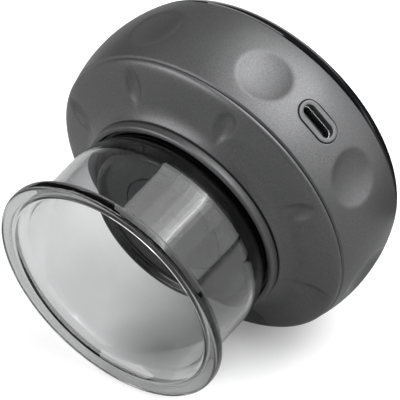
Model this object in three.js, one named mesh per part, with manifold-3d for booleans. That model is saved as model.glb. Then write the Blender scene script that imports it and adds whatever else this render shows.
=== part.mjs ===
// An electric cupping massager: a round rechargeable suction unit with a clear suction cup.
// All sizes are millimetres. Each piece is built upright, with the device axis along Z, the
// display on top, the cup underneath, and height zero at the seam between the two case shells.
// Heights below that seam are negative. The last section lays the finished device on its side,
// the way it rests on a table: on the rim of its cup and on the side of its case.

import * as THREE from 'three';
import { mergeVertices } from 'three/addons/utils/BufferGeometryUtils.js';
import Module from 'manifold-3d';

const wasm = await Module();
wasm.setup();

// Fineness of round shapes, as counts of flats and steps
const ringFlats = 40;
const hiddenFlats = 24;
const rodFlats = 16;
const scoopFlats = 12;
const smallFlats = 8;
const arcSteps = 5;
const filletSteps = 2;
const tubeSteps = 10;

// Clearances shared by all pieces
const seam = 0.3; // between neighbouring pieces
const overrun = 1; // how far a cutting shape runs past what it cuts
const runningGap = 0.08; // round a turning or sliding shaft
const weldDistance = 0.0001; // points closer than this are one point

// Upper case shell
const caseOverhang = 13.1; // from the wall of the cup out to the case at its widest
const caseWidestHeight = 9.2;
const caseSideArc = 32.4; // radius of the bulging side
const caseHeight = 21;
const caseWall = 2.6;
const caseEdge = 0.4;

// Round grip dimples in the side of the upper shell
const dimpleCount = 8;
const dimpleHalfWidth = 6.3;
const dimpleDepth = 1.15;
const dimpleFirstAngle = 24.5;

// Charging port, half way between two dimples
const portAngle = dimpleFirstAngle - 1.5 * (360 / dimpleCount);
const portHeight = 9.8;
const bezelLength = 10;
const bezelWidth = 5.3;
const bezelSink = 0.1; // below the widest radius of the case
const bezelThickness = 1.2;
const slotLength = 8.5;
const slotWidth = 3.2;
const socketLength = 8.94;
const socketWidth = 3.16;
const socketWall = 0.3;
const socketDepth = 7.3;
const tongueWidth = 6.7;
const tongueThickness = 0.7;
const tongueRecess = 0.9; // from the rim of the socket to the tip of the tongue
const tongueBackDepth = 1.4;

// Lower case shell
const shoulderInset = 0.15;
const shoulderDrop = 1.55;
const shoulderFillet = 1.7;
const flareReach = 1.3; // from the neck out to where the flat cone starts
const flareDrop = 4.95;
const flareFillet = 5;
const neckWall = 1;
const neckDrop = 6.7;
const coverShelfDrop = 2.7;
const coverShelfWidth = 3.4;
const coverLipHeight = 2;
const coverLipWall = 1.5;
const coverLipRootDrop = 1;

// Oval scoops in the flat cone, one under each dimple
const scoopHalfWidth = 2.9;
const scoopHalfLength = 4.2;
const scoopDepth = 0.6;
const scoopInset = 6.4; // from the widest radius of the case to the middle of a scoop

// Trim ring round the neck, and the seal inside it
const ringWall = 0.9;
const ringLipHeight = 2;
const ringLipWall = 1.2;
const ringLipInset = 0.2;
const ringLipFillet = 1.3;
const sealWall = 0.75;
const sealWebThickness = 0.5;
const sealFlareDrop = 6.5; // where the sleeve starts to flare over the cup's shoulder
const sealFlareHeight = 0.8;
const sealBottomDrop = 8.3;

// Suction cup, whose wall sets the size of the neck and of the case round it
const cupRadius = 24.9;
const cupWall = 1.5;
const cupNeckInset = 3.35; // from the wall of the cup in to its neck
const cupNeckDrop = 3.8; // top end of the neck that sits in the seal
const cupShoulderArc = 19.3;
const cupShoulderDrop = 17.5; // where the rounded shoulder meets the straight wall
const cupRimDrop = 34.3;
const cupFlangeReach = 3.8; // beyond the wall of the cup
const cupFlangeThickness = 2.6;
const cupFlangeRootFillet = 2.2;
const cupFlangeEdgeFillet = 0.9;
const cupLipWidth = 2.6; // flat ring that lies on the skin, edge fillet included
const cupStepDepth = 0.6;
const cupStepWidth = 1;
const cupMouthDepth = 2.6; // from the rim to the foot of the funnel
const cupPullTravel = 12;

// Floor of the suction chamber
const floorDrop = 11.6;
const floorThickness = 2.4;
const floorWall = 1.9;
const floorEdgeFillet = 1.6;
const floorFlangeReach = 1.5; // past the bore of the cover, on to its shelf
const floorFlangeThickness = 1.8;
const boardLedgeWidth = 1.6;
const boardLedgeHeight = 0.8;

// Heated plate in the floor, with the air intake in its middle
const plateShare = 0.618; // of the radius of the plinth
const plateThickness = 1;
const plateLedge = 1.2;
const intakeCapRadius = 3.1;
const intakeCapThickness = 0.6;
const intakeStemRadius = 1.3;
const intakeBoreRadius = 0.7;
const intakeStemLength = 8;
const lightBoardThickness = 1;
const lightCount = 6;
const lightSize = 2;
const lightHeight = 0.7;
const lightCircleShare = 0.7; // of the radius of the plate

// Domed display panel
const panelEdgeArc = 7.5;
const panelCrownSlope = 10; // degrees from level where the edge meets the crown
const panelWall = 2;
const panelSpigotWall = 1.6;
const panelSpigotDepth = 2.5;

// Push buttons in the panel
const buttonRadius = 4.5;
const buttonCircleRadius = 14;
const buttonProud = 0.5;
const buttonEdge = 0.35;
const buttonFlangeWidth = 1;
const buttonFlangeThickness = 0.9;
const buttonStemRadius = 1.6;
const buttonTravel = 0.4;
const switchSize = 6;
const switchPlungerRadius = 1.5;
const switchPlungerHeight = 0.6;
const switchSpare = 0.2; // left over between stem and switch with the button pressed

// Display board and its digit block
const displayBoardThickness = 1.2;
const displayBoardInset = 2.2; // below the top of the upper shell
const digitLength = 17;
const digitWidth = 9;
const digitThickness = 3.8;
const digitCentre = 8.5;

// Chassis plate, its posts and the screws
const chassisThickness = 1.5;
const chassisHoleRadius = 4.5;
const postRadius = 2.1;
const postInset = 2.8; // from the edge of the display board
const postAngles = [30, 155, 290]; // from the port
const caseScrewInset = 2.9; // from the edge of the chassis plate
const caseScrewAngles = [12, 135, 265]; // from the port
const bossRadius = 2.9;
const caseScrewLength = 4;
const caseScrewRadius = 1.1;
const caseScrewHeadRadius = 2.2;
const caseScrewHeadHeight = 1.4;
const boardScrewLength = 5;
const boardScrewRadius = 0.8;
const boardScrewHeadRadius = 1.7;
const boardScrewHeadHeight = 1;
const driveRadius = 0.9;
const driveDepth = 0.6;
const standoffRadius = 1.7;
const standoffShares = [ // of the radius of the chassis plate
  [0.22, -0.31],
  [0.22, 0.16],
  [0.78, -0.25],
];

// Main board, on its standoffs beside the port. Shares are of the radius of the chassis plate
const mainBoardNearShare = 0.125;
const mainBoardLeftShare = 0.4;
const mainBoardRightShare = 0.24;
const mainBoardInset = 9.6; // from the widest radius of the case
const mainBoardThickness = 1.2;
const boardTabInset = 4.8;
const boardTabHalfWidth = 5.4;
const chipHeight = 1;
const chipShare = 0.29; // of the length of the board, as are the next shares
const chipCentreShare = 0.45;
const inductorHeight = 2.8;
const inductorShare = 0.2;
const inductorCentreShare = 0.74;
const sensorCentreShare = 0.19;
const sensorSize = 4.6;
const sensorHeight = 2;
const sensorPortRadius = 1;
const sensorPortHeight = 2;

// Battery on its foam pad. Shares are of the radius of the chassis plate
const batteryLengthShare = 1.035;
const batteryWidthShare = 0.533;
const batteryEdgeShare = 0.276; // from the device axis to the near side of the battery
const batteryShiftShare = 0.03; // towards the port
const batteryRoomShare = 0.57; // of the room between the chassis and the display board
const batteryCorner = 2;
const padThickness = 1;
const padInset = 2;
const leadRadius = 0.55;
const leadSpacing = 2.6;
const leadBend = 3;

// Pump: motor, head and eccentric
const pumpShare = 0.314; // of the radius of the chassis plate, from the device axis to the motor
const motorLengthShare = 0.564; // of that radius too
const motorRoomShare = 0.426; // radius as a share of the room up to the display board
const motorFoot = 0.7; // between the motor and the chassis plate
const pumpRoom = 0.9; // between the pump head and the battery
const motorBossRadius = 3;
const motorBossLength = 0.8;
const motorEdge = 0.8;
const saddleThickness = 2.4;
const saddleHalfWidth = 6;
const saddleHeight = 3.4; // above the chassis plate
const saddleInsetShare = 0.2; // of the motor length, from each end
const shaftRadius = 1;
const shaftBuried = 3; // inside the motor
const shaftLength = 9.6;
const headLength = 9.6;
const headCavityShare = 0.72; // of half the width of the head
const headCavityDepth = 7.4;
const barbRadius = 1.3;
const barbLength = 3.2;
const eccentricRadius = 3.2;
const eccentricThickness = 3;
const eccentricThrow = 1;
const eccentricStart = 3.2; // from the motor face to the eccentric

// Release valve
const valveLength = 11;
const valveWidth = 9;
const valveRoomShare = 0.6; // of the room up to the display board
const valveGap = 2; // from the motor
const valveAcrossShare = 0.646; // of the radius of the chassis plate
const valvePlungerRadius = 1.5;
const valvePlungerLength = 8;
const valvePlungerBuried = 5.2;
const valveHeadRadius = 2.6;
const valveHeadHeight = 0.9;
const valveTravel = 1.2;

// Silicone tubes
const tubeRadius = 2.3;
const tubeWall = 0.7;
const tubeGrip = 2.4; // length of barb inside a tube

// Finishes
const finish = (color, roughness, metalness = 0) => new THREE.MeshStandardMaterial({
  color,
  roughness,
  metalness,
});
const greyShell = () => finish(0x54565a, 0.5, 0.2);
const blackGloss = () => finish(0x0a0a0b, 0.12);
const blackPlastic = () => finish(0x151517, 0.45);
const blackRubber = () => finish(0x101011, 0.75);
const boardGreen = () => finish(0x1d5a3a, 0.5);
const bareMetal = () => finish(0xb4b6b9, 0.35, 1);
const innerPlastic = () => finish(0x3a3c40, 0.6);

// Small helpers
const radians = (degrees) => THREE.MathUtils.degToRad(degrees);
const onCircle = (radius, degrees) => [
  radius * Math.cos(radians(degrees)),
  radius * Math.sin(radians(degrees)),
];
const evenAngles = (count, first) => Array.from({ length: count }, (_, i) => first + (360 * i) / count);

// A geometry with shared points only, no slivers, and its faces pointing out
function closed(geometry) {
  const bare = new THREE.BufferGeometry();
  bare.setAttribute('position', geometry.getAttribute('position'));
  bare.setIndex(geometry.getIndex());
  const merged = mergeVertices(bare, weldDistance);
  const index = Array.from(merged.getIndex().array);
  const point = (i) => new THREE.Vector3().fromBufferAttribute(merged.getAttribute('position'), i);
  const kept = [];
  let volume = 0;
  for (let i = 0; i < index.length; i += 3) {
    const [a, b, c] = index.slice(i, i + 3);
    if (a === b || b === c || c === a) continue;
    kept.push(a, b, c);
    volume += point(a).dot(point(b).cross(point(c)));
  }
  merged.setIndex(volume < 0 ? kept.reverse() : kept);
  return merged;
}

function toSolid(geometry) {
  const mesh = closed(geometry);
  return new wasm.Manifold(new wasm.Mesh({
    numProp: 3,
    vertProperties: Float32Array.from(mesh.getAttribute('position').array),
    triVerts: Uint32Array.from(mesh.getIndex().array),
  }));
}

function toGeometry(solid) {
  const mesh = solid.getMesh();
  const geometry = new THREE.BufferGeometry();
  geometry.setAttribute('position', new THREE.BufferAttribute(mesh.vertProperties, 3));
  geometry.setIndex(new THREE.BufferAttribute(mesh.triVerts, 1));
  return geometry;
}

const cut = (body, tools) => toGeometry(
  tools.reduce((solid, tool) => solid.subtract(toSolid(tool)), toSolid(body)),
);
const fuse = (bodies) => toGeometry(bodies.map(toSolid).reduce((sum, next) => sum.add(next)));

// Points along an arc in the outline plane
function arc(centre, radius, from, to, steps = arcSteps) {
  return Array.from({ length: steps + 1 }, (_, i) => {
    const angle = radians(from + ((to - from) * i) / steps);
    return [centre[0] + radius * Math.cos(angle), centre[1] + radius * Math.sin(angle)];
  });
}

// An outline whose corners [x, y, fillet] are rounded where a fillet is given
function rounded(corners) {
  return corners.flatMap(([x, y, fillet = 0], i) => {
    if (!fillet) return [[x, y]];
    const here = new THREE.Vector2(x, y);
    const ahead = corners[(i + 1) % corners.length];
    const behind = corners[(i + corners.length - 1) % corners.length];
    const toNext = new THREE.Vector2(ahead[0], ahead[1]).sub(here);
    const toLast = new THREE.Vector2(behind[0], behind[1]).sub(here);
    const shortest = Math.min(toNext.length(), toLast.length());
    toNext.normalize();
    toLast.normalize();
    const half = Math.acos(toNext.dot(toLast)) / 2;
    const reach = Math.min(fillet / Math.tan(half), shortest);
    const radius = reach * Math.tan(half);
    const middle = toNext.clone().add(toLast).normalize();
    const centre = here.clone().addScaledVector(middle, radius / Math.sin(half));
    const start = here.clone().addScaledVector(toLast, reach).sub(centre);
    const sweep = (Math.PI - 2 * half) * Math.sign(toNext.cross(toLast));
    return Array.from({ length: filletSteps + 1 }, (_, k) => {
      const spoke = start.clone().rotateAround(new THREE.Vector2(), (sweep * k) / filletSteps);
      return [centre.x + spoke.x, centre.y + spoke.y];
    });
  });
}

// A round piece from an outline of [radius, height] points, with a flat facing each quarter
function revolve(outline, flats = ringFlats) {
  const points = outline.map(([x, y]) => new THREE.Vector2(x, y));
  const onAxis = points[0].x === 0 && points[points.length - 1].x === 0;
  if (!onAxis) points.push(points[0].clone());
  const lathe = new THREE.LatheGeometry(points, flats);
  return closed(lathe.rotateX(Math.PI / 2).rotateZ(Math.PI / flats));
}

// A round rod or disc standing on the given height
function rod(radius, height, length, flats = rodFlats) {
  return revolve([[0, height], [radius, height], [radius, height + length], [0, height + length]], flats);
}

// A block given by its two corners
function block(low, high) {
  const size = high.map((value, i) => value - low[i]);
  const box = new THREE.BoxGeometry(...size);
  return box.translate(...low.map((value, i) => value + size[i] / 2));
}

// A slab with rounded ends or corners, lying flat, from height zero up
function slab(length, width, depth, corner = width / 2, curveSegments = filletSteps) {
  const x = length / 2 - corner;
  const y = width / 2 - corner;
  const shape = new THREE.Shape();
  shape.absarc(x, y, corner, 0, Math.PI / 2);
  shape.absarc(-x, y, corner, Math.PI / 2, Math.PI);
  shape.absarc(-x, -y, corner, Math.PI, 1.5 * Math.PI);
  shape.absarc(x, -y, corner, 1.5 * Math.PI, 2 * Math.PI);
  return new THREE.ExtrudeGeometry(shape, { depth, bevelEnabled: false, curveSegments });
}

// A hollow tube along a route of points
function tube(route, outer, inner) {
  const shape = new THREE.Shape().absarc(0, 0, outer, 0, 2 * Math.PI);
  if (inner) shape.holes.push(new THREE.Path().absarc(0, 0, inner, 0, 2 * Math.PI, true));
  const extrudePath = new THREE.CatmullRomCurve3(route.map((p) => new THREE.Vector3(...p)));
  return new THREE.ExtrudeGeometry(shape, { extrudePath, steps: tubeSteps, curveSegments: smallFlats / 2 });
}

// A cutting shape whose bowl meets a rounded surface at the given half width and half length
function bowl(halfWidth, halfLength, depth, drop, flats = rodFlats) {
  const ringShares = [0, 0.5, 1, 1.15];
  const rings = ringShares.map((share) => [share, (depth - drop) * share * share - depth]);
  const rim = rings[rings.length - 1];
  return revolve([...rings, [rim[0], overrun], [0, overrun]], flats).scale(halfWidth, halfLength, 1);
}

// Turns a geometry drawn flat so that it faces out of the side of the device: its X runs round
// the device, its Y up the device axis, and its Z out from the axis
function facingOut(geometry, angle, height) {
  const [x, y] = onCircle(1, angle);
  const turn = new THREE.Matrix4().makeBasis(
    new THREE.Vector3(-y, x, 0),
    new THREE.Vector3(0, 0, 1),
    new THREE.Vector3(x, y, 0),
  );
  return geometry.clone().applyMatrix4(turn.setPosition(0, 0, height));
}

const device = new THREE.Group();
const inside = new THREE.Group(); // its X axis points at the charging port
inside.rotation.z = radians(portAngle);
device.add(inside);

function piece(name, geometry, material, parent = device) {
  const mesh = new THREE.Mesh(closed(geometry), material);
  mesh.name = name;
  parent.add(mesh);
  return mesh;
}

// Radii that follow from the wall of the cup: its neck, the seal, the ring and the cover round it
const cupNeckRadius = cupRadius - cupNeckInset;
const cupNeckBore = cupNeckRadius - cupWall;
const sealBoreRadius = cupNeckRadius + seam;
const sealRadius = sealBoreRadius + sealWall;
const ringBoreRadius = sealRadius + seam;
const ringRadius = ringBoreRadius + ringWall;
const coverBoreRadius = ringRadius + seam;
const neckRadius = coverBoreRadius + neckWall;
const flareRadius = neckRadius + flareReach;
const caseRadius = cupRadius + caseOverhang;

// Radius of the upper shell's side at a height, or of its inner face with the wall as inset
const sideRadius = (height, inset = 0) => caseRadius - caseSideArc
  + Math.sqrt((caseSideArc - inset) ** 2 - (height - caseWidestHeight) ** 2);
const sideSlope = (height) => THREE.MathUtils.radToDeg(Math.asin((height - caseWidestHeight) / caseSideArc));
const sidePoints = (low, high, steps, inset = 0) => Array.from({ length: steps + 1 }, (_, i) => {
  const height = low + ((high - low) * i) / steps;
  return [sideRadius(height, inset), height];
});

// Upper shell: a bulging ring with a top opening for the panel and a bottom one for the cover
const caseBottom = seam / 2;
const bezelFace = caseRadius - bezelSink;
const caseOutline = [
  [sideRadius(caseBottom) - caseEdge, caseBottom],
  ...sidePoints(caseBottom + caseEdge, caseHeight, arcSteps),
  ...sidePoints(caseBottom, caseHeight, filletSteps, caseWall).reverse(),
];

function upperShell() {
  const drop = dimpleHalfWidth ** 2 / (caseRadius + caseSideArc);
  const dimple = bowl(dimpleHalfWidth, dimpleHalfWidth, dimpleDepth, drop).translate(0, 0, caseRadius);
  const dimples = evenAngles(dimpleCount, dimpleFirstAngle)
    .map((angle) => facingOut(dimple, angle, caseWidestHeight));
  const pocketFloor = bezelFace - bezelThickness - seam;
  const pocket = slab(bezelLength + 2 * seam, bezelWidth + 2 * seam, bezelThickness + seam + overrun)
    .translate(0, 0, pocketFloor);
  const socketHole = slab(socketLength + 2 * seam, socketWidth + 2 * seam, caseWall + 2 * overrun)
    .translate(0, 0, pocketFloor - caseWall - overrun);
  return cut(revolve(caseOutline), [
    ...dimples,
    facingOut(pocket, portAngle, portHeight),
    facingOut(socketHole, portAngle, portHeight),
  ]);
}
piece('main_housing', upperShell(), greyShell());

// Lower shell: a rounded shoulder, a flat cone and a neck, with a lip that locates it in the
// upper shell, a shelf for the chamber floor and three screw bosses
const coverTop = -seam / 2;
const lipRadius = sideRadius(caseBottom, caseWall) - seam;
const lipInnerRadius = lipRadius - coverLipWall;
const floorFlangeTop = floorFlangeThickness + seam - coverShelfDrop;
const insideRadius = lipInnerRadius - seam; // of the chassis plate
const caseScrewCircleRadius = insideRadius - caseScrewInset;

const rimRadius = sideRadius(coverTop);
const coverOutline = rounded([
  [lipRadius, coverTop],
  [rimRadius - caseEdge / 2, coverTop],
  [rimRadius, coverTop - caseEdge],
  [rimRadius - shoulderInset, -shoulderDrop, shoulderFillet],
  [flareRadius, -flareDrop, flareFillet],
  [neckRadius, -neckDrop],
  [coverBoreRadius, -neckDrop],
  [coverBoreRadius, -coverShelfDrop],
  [coverBoreRadius + coverShelfWidth, -coverShelfDrop],
  [lipInnerRadius, -coverLipRootDrop],
  [lipInnerRadius, coverLipHeight],
  [lipRadius, coverLipHeight],
]);

function lowerShell() {
  const coneSlope = Math.atan2(flareDrop - shoulderDrop, rimRadius - shoulderInset - flareRadius);
  const scoopCentreRadius = caseRadius - scoopInset;
  const scoopDrop = shoulderDrop + (rimRadius - shoulderInset - scoopCentreRadius) * Math.tan(coneSlope);
  const scoops = evenAngles(dimpleCount, dimpleFirstAngle).map((angle) => bowl(
    scoopHalfWidth,
    scoopHalfLength,
    scoopDepth,
    0,
    scoopFlats,
  )
    .rotateX(Math.PI)
    .rotateX(coneSlope)
    .translate(0, scoopCentreRadius, -scoopDrop)
    .rotateZ(radians(angle - 90)));
  const bossBottom = -coverShelfDrop - seam;
  const bosses = caseScrewAngles.map((angle) => rod(bossRadius, bossBottom, floorFlangeTop - bossBottom)
    .translate(...onCircle(caseScrewCircleRadius, portAngle + angle), 0));
  const holes = caseScrewAngles.map((angle) => rod(
    caseScrewRadius + seam,
    floorFlangeTop + seam + chassisThickness - caseScrewLength,
    caseScrewLength,
  ).translate(...onCircle(caseScrewCircleRadius, portAngle + angle), 0));
  return cut(fuse([revolve(coverOutline), ...bosses]), [...scoops, ...holes]);
}
piece('lower_cover', lowerShell(), greyShell());

// Neck trim ring: a spigot inside the cover and a rounded lip under its neck
const ringLipTop = -neckDrop - seam;
const ringLipBottom = ringLipTop - ringLipHeight;
const ringLipRadius = neckRadius - ringLipInset;
const ringLipBore = ringLipRadius - ringLipWall;
const flareTop = -sealFlareDrop;
const flareBottom = flareTop - sealFlareHeight;
piece('neck_ring', revolve(rounded([
  [ringBoreRadius, -coverShelfDrop],
  [ringRadius, -coverShelfDrop],
  [ringRadius, ringLipTop],
  [ringLipRadius, ringLipTop],
  [ringLipRadius, ringLipBottom, ringLipFillet],
  [ringLipBore, ringLipBottom],
  [ringLipBore, flareBottom],
  [ringBoreRadius, flareTop],
])), greyShell());

// Silicone seal: a sleeve inside the ring with a web across the end of the cup's neck, flared at
// its foot to follow the shoulder of the cup
const sealTop = -coverShelfDrop - seam;
const floorRadius = cupNeckBore - seam;
const shoulderRadius = (height) => cupRadius - cupShoulderArc
  + Math.sqrt(cupShoulderArc ** 2 - (height + cupShoulderDrop) ** 2);
piece('cup_seal', revolve([
  [floorRadius + seam, sealTop],
  [sealRadius, sealTop],
  [sealRadius, flareTop],
  [ringLipBore - seam, flareBottom],
  [ringLipBore - seam, -sealBottomDrop],
  [shoulderRadius(-sealBottomDrop) + seam, -sealBottomDrop],
  [shoulderRadius(flareBottom) + seam, flareBottom],
  [sealBoreRadius, flareTop],
  [sealBoreRadius, sealTop - sealWebThickness],
  [floorRadius + seam, sealTop - sealWebThickness],
]), blackRubber());

// Suction cup: neck, rounded shoulder, straight wall and a flanged rim with a funnel mouth
const cupShoulderSweep = THREE.MathUtils.radToDeg(
  Math.acos((cupNeckRadius - cupRadius + cupShoulderArc) / cupShoulderArc),
);
const cupShoulderCentre = [cupRadius - cupShoulderArc, -cupShoulderDrop];
const cupBoreRadius = cupRadius - cupWall;
const cupFlangeRadius = cupRadius + cupFlangeReach;
const cupLipInner = cupFlangeRadius - cupLipWidth;
const cupOutline = rounded([
  [cupNeckBore, -cupNeckDrop],
  [cupNeckRadius, -cupNeckDrop],
  ...arc(cupShoulderCentre, cupShoulderArc, cupShoulderSweep, 0, filletSteps + 1),
  [cupRadius, cupFlangeThickness - cupRimDrop, cupFlangeRootFillet],
  [cupFlangeRadius, cupFlangeThickness - cupRimDrop, cupFlangeEdgeFillet],
  [cupFlangeRadius, -cupRimDrop, cupFlangeEdgeFillet],
  [cupLipInner, -cupRimDrop],
  [cupLipInner, cupStepDepth - cupRimDrop],
  [cupLipInner - cupStepWidth, cupStepDepth - cupRimDrop],
  [cupBoreRadius, cupMouthDepth - cupRimDrop],
  ...arc(cupShoulderCentre, cupShoulderArc - cupWall, 0, cupShoulderSweep, filletSteps + 1),
]);
piece('suction_cup', revolve(cupOutline), new THREE.MeshStandardMaterial({
  color: 0x5a5c5f,
  roughness: 0.06,
  transparent: true,
  opacity: 0.45,
}));

// Chamber floor: a black plinth that the cup's neck goes round, hung from a flange that the
// chassis clamps on the cover's shelf
const plateRadius = plateShare * floorRadius;
const plateTop = -floorDrop + plateThickness;
const boardLedgeTop = -floorDrop + floorThickness + boardLedgeHeight;
const floorInnerRadius = floorRadius - floorWall;
const floorFlangeRadius = coverBoreRadius + floorFlangeReach;
piece('chamber_floor', revolve(rounded([
  [plateRadius + seam, -floorDrop],
  [floorRadius, -floorDrop, floorEdgeFillet],
  [floorRadius, floorFlangeTop - floorFlangeThickness],
  [floorFlangeRadius, floorFlangeTop - floorFlangeThickness],
  [floorFlangeRadius, floorFlangeTop],
  [floorInnerRadius, floorFlangeTop],
  [floorInnerRadius, boardLedgeTop],
  [floorInnerRadius - boardLedgeWidth, boardLedgeTop],
  [floorInnerRadius - boardLedgeWidth, -floorDrop + floorThickness],
  [plateRadius - plateLedge, -floorDrop + floorThickness],
  [plateRadius - plateLedge, plateTop + seam],
  [plateRadius + seam, plateTop + seam],
])), blackPlastic());

// Heated plate and the intake cap whose stem carries the air through it
const plateBore = intakeStemRadius + seam;
piece('heat_plate', revolve([
  [plateBore, -floorDrop],
  [plateRadius, -floorDrop],
  [plateRadius, plateTop],
  [plateBore, plateTop],
]), finish(0x1a1a1c, 0.3, 0.4));
const intakeTop = intakeStemLength - floorDrop;
piece('filter_cap', revolve([
  [intakeBoreRadius, -floorDrop - seam - intakeCapThickness],
  [intakeCapRadius, -floorDrop - seam - intakeCapThickness],
  [intakeCapRadius, -floorDrop - seam],
  [intakeStemRadius, -floorDrop - seam],
  [intakeStemRadius, intakeTop],
  [intakeBoreRadius, intakeTop],
], rodFlats), blackPlastic());

// Light board that warms and lights the chamber through the opening behind the plate
const lightBoardBottom = boardLedgeTop + seam;
function lightBoard() {
  const board = rod(floorInnerRadius - seam, lightBoardBottom, lightBoardThickness, hiddenFlats);
  const lights = evenAngles(lightCount, 0).map((angle) => {
    const [x, y] = onCircle(lightCircleShare * plateRadius, angle);
    const half = lightSize / 2;
    const bottom = lightBoardBottom - lightHeight;
    return block([x - half, y - half, bottom], [x + half, y + half, bottom + lightHeight + overrun / 2]);
  });
  return cut(fuse([board, ...lights]), [
    rod(tubeRadius + seam, lightBoardBottom - overrun, lightBoardThickness + 2 * overrun),
  ]);
}
piece('light_board', lightBoard(), boardGreen());

// Display panel: a domed lens that closes the top, with a spigot inside the upper shell
const panelBottom = caseHeight + seam;
const panelEdgeStart = sideSlope(panelBottom);
const panelEdgeCentre = [
  sideRadius(panelBottom) - panelEdgeArc * Math.cos(radians(panelEdgeStart)),
  panelBottom - panelEdgeArc * Math.sin(radians(panelEdgeStart)),
];
const crownFrom = 90 - panelCrownSlope;
const crownJoin = arc(panelEdgeCentre, panelEdgeArc, crownFrom, crownFrom, 1)[0];
const crownArc = crownJoin[0] / Math.sin(radians(panelCrownSlope));
const crownCentre = [0, crownJoin[1] - crownArc * Math.cos(radians(panelCrownSlope))];
const panelTop = crownCentre[1] + crownArc;
const panelSpigotRadius = sideRadius(caseHeight, caseWall) - seam;
const panelSpigotBore = panelSpigotRadius - panelSpigotWall;
const onCrown = (radius, inset = 0) => crownCentre[1] + Math.sqrt((crownArc - inset) ** 2 - radius ** 2);
const buttonAngles = [150, 90, 30];

function panel() {
  const innerEdge = THREE.MathUtils.radToDeg(
    Math.acos((panelSpigotBore - panelEdgeCentre[0]) / (panelEdgeArc - panelWall)),
  );
  const outline = [
    ...arc(crownCentre, crownArc - panelWall, 90, crownFrom, filletSteps),
    ...arc(panelEdgeCentre, panelEdgeArc - panelWall, crownFrom, innerEdge, 1).slice(1),
    [panelSpigotBore, panelBottom - panelSpigotDepth],
    [panelSpigotRadius, panelBottom - panelSpigotDepth],
    [panelSpigotRadius, panelBottom],
    ...arc(panelEdgeCentre, panelEdgeArc, panelEdgeStart, crownFrom, arcSteps - 2),
    ...arc(crownCentre, crownArc, crownFrom, 90, filletSteps).slice(1),
  ];
  outline[0][0] = 0;
  outline[outline.length - 1][0] = 0;
  const holes = buttonAngles.map((angle) => rod(
    buttonRadius + seam,
    panelTop - panelWall - 2 * overrun,
    panelWall + 3 * overrun,
  ).translate(...onCircle(buttonCircleRadius, angle), 0));
  return cut(revolve(outline), holes);
}
piece('display_panel', panel(), blackGloss());

// Push buttons, each with a retaining flange under the panel and a stem over its switch
const buttonTop = onCrown(buttonCircleRadius) + buttonProud;
const buttonFlangeRadius = buttonRadius + seam + buttonFlangeWidth;
const buttonFlangeTop = onCrown(buttonCircleRadius + buttonFlangeRadius, panelWall) - seam;
const displayBoardHeight = caseHeight - displayBoardInset;
const displayBoardTop = displayBoardHeight + displayBoardThickness;
const switchTop = (buttonFlangeTop - buttonFlangeThickness + displayBoardTop) / 2;
const buttonStemBottom = switchTop + switchPlungerHeight + buttonTravel + switchSpare;
['power_button', 'level_button', 'heat_button'].forEach((name, i) => {
  const [x, y] = onCircle(buttonCircleRadius, buttonAngles[i]);
  const button = piece(name, revolve([
    [0, buttonStemBottom],
    [buttonStemRadius, buttonStemBottom],
    [buttonStemRadius, buttonFlangeTop - buttonFlangeThickness],
    [buttonFlangeRadius, buttonFlangeTop - buttonFlangeThickness],
    [buttonFlangeRadius, buttonFlangeTop],
    [buttonRadius, buttonFlangeTop],
    [buttonRadius, buttonTop - buttonEdge],
    [buttonRadius - buttonEdge, buttonTop],
    [0, buttonTop],
  ], rodFlats), blackGloss());
  button.position.set(x, y, 0);
});

// Tactile switches under the buttons
buttonAngles.forEach((angle, i) => {
  const [x, y] = onCircle(buttonCircleRadius, angle);
  const half = switchSize / 2;
  const body = fuse([
    block([-half, -half, displayBoardTop + seam], [half, half, switchTop]),
    rod(switchPlungerRadius, switchTop - overrun, switchPlungerHeight + overrun, smallFlats),
  ]);
  piece(`tact_switch_${i + 1}`, body, blackPlastic()).position.set(x, y, 0);
});

// Display board on the chassis posts, and the digit block above it
const displayBoardRadius = panelSpigotBore - seam;
const postCircleRadius = displayBoardRadius - postInset;
const postHoles = (radius, bottom, length, turn) => postAngles.map((angle) => rod(
  radius,
  bottom,
  length,
  smallFlats,
).translate(...onCircle(postCircleRadius, turn + angle), 0));
piece('display_board', cut(
  rod(displayBoardRadius, displayBoardHeight, displayBoardThickness, hiddenFlats),
  postHoles(boardScrewRadius + seam, displayBoardHeight - overrun, displayBoardThickness + 2 * overrun, portAngle),
), boardGreen());
piece('digit_display', block(
  [-digitLength / 2, -digitWidth / 2, 0],
  [digitLength / 2, digitWidth / 2, digitThickness],
), finish(0x2a2a2c, 0.4)).position.set(0, -digitCentre, displayBoardTop + seam);

// Chassis plate with posts, standoffs and the saddles that hold the motor
const chassisBottom = floorFlangeTop + seam;
const chassisTop = chassisBottom + chassisThickness;
const boardTop = portHeight - socketWidth / 2 - seam;
const boardBottom = boardTop - mainBoardThickness;
const roomHeight = displayBoardHeight - chassisTop;
const batteryEdge = batteryEdgeShare * insideRadius;
const motorLength = motorLengthShare * insideRadius;
const motorRadius = motorRoomShare * roomHeight;
const motorHeight = chassisTop + motorFoot + motorRadius;
const motorFront = batteryEdge - pumpRoom - headLength - seam;
const motorBack = motorFront - motorLength;
const pumpOffset = pumpShare * insideRadius + motorRadius;

function saddle(along) {
  const low = [-pumpOffset - saddleHalfWidth, along - saddleThickness / 2, chassisTop - overrun / 2];
  const high = [-pumpOffset + saddleHalfWidth, along + saddleThickness / 2, chassisTop + saddleHeight];
  return block(low, high);
}

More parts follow.
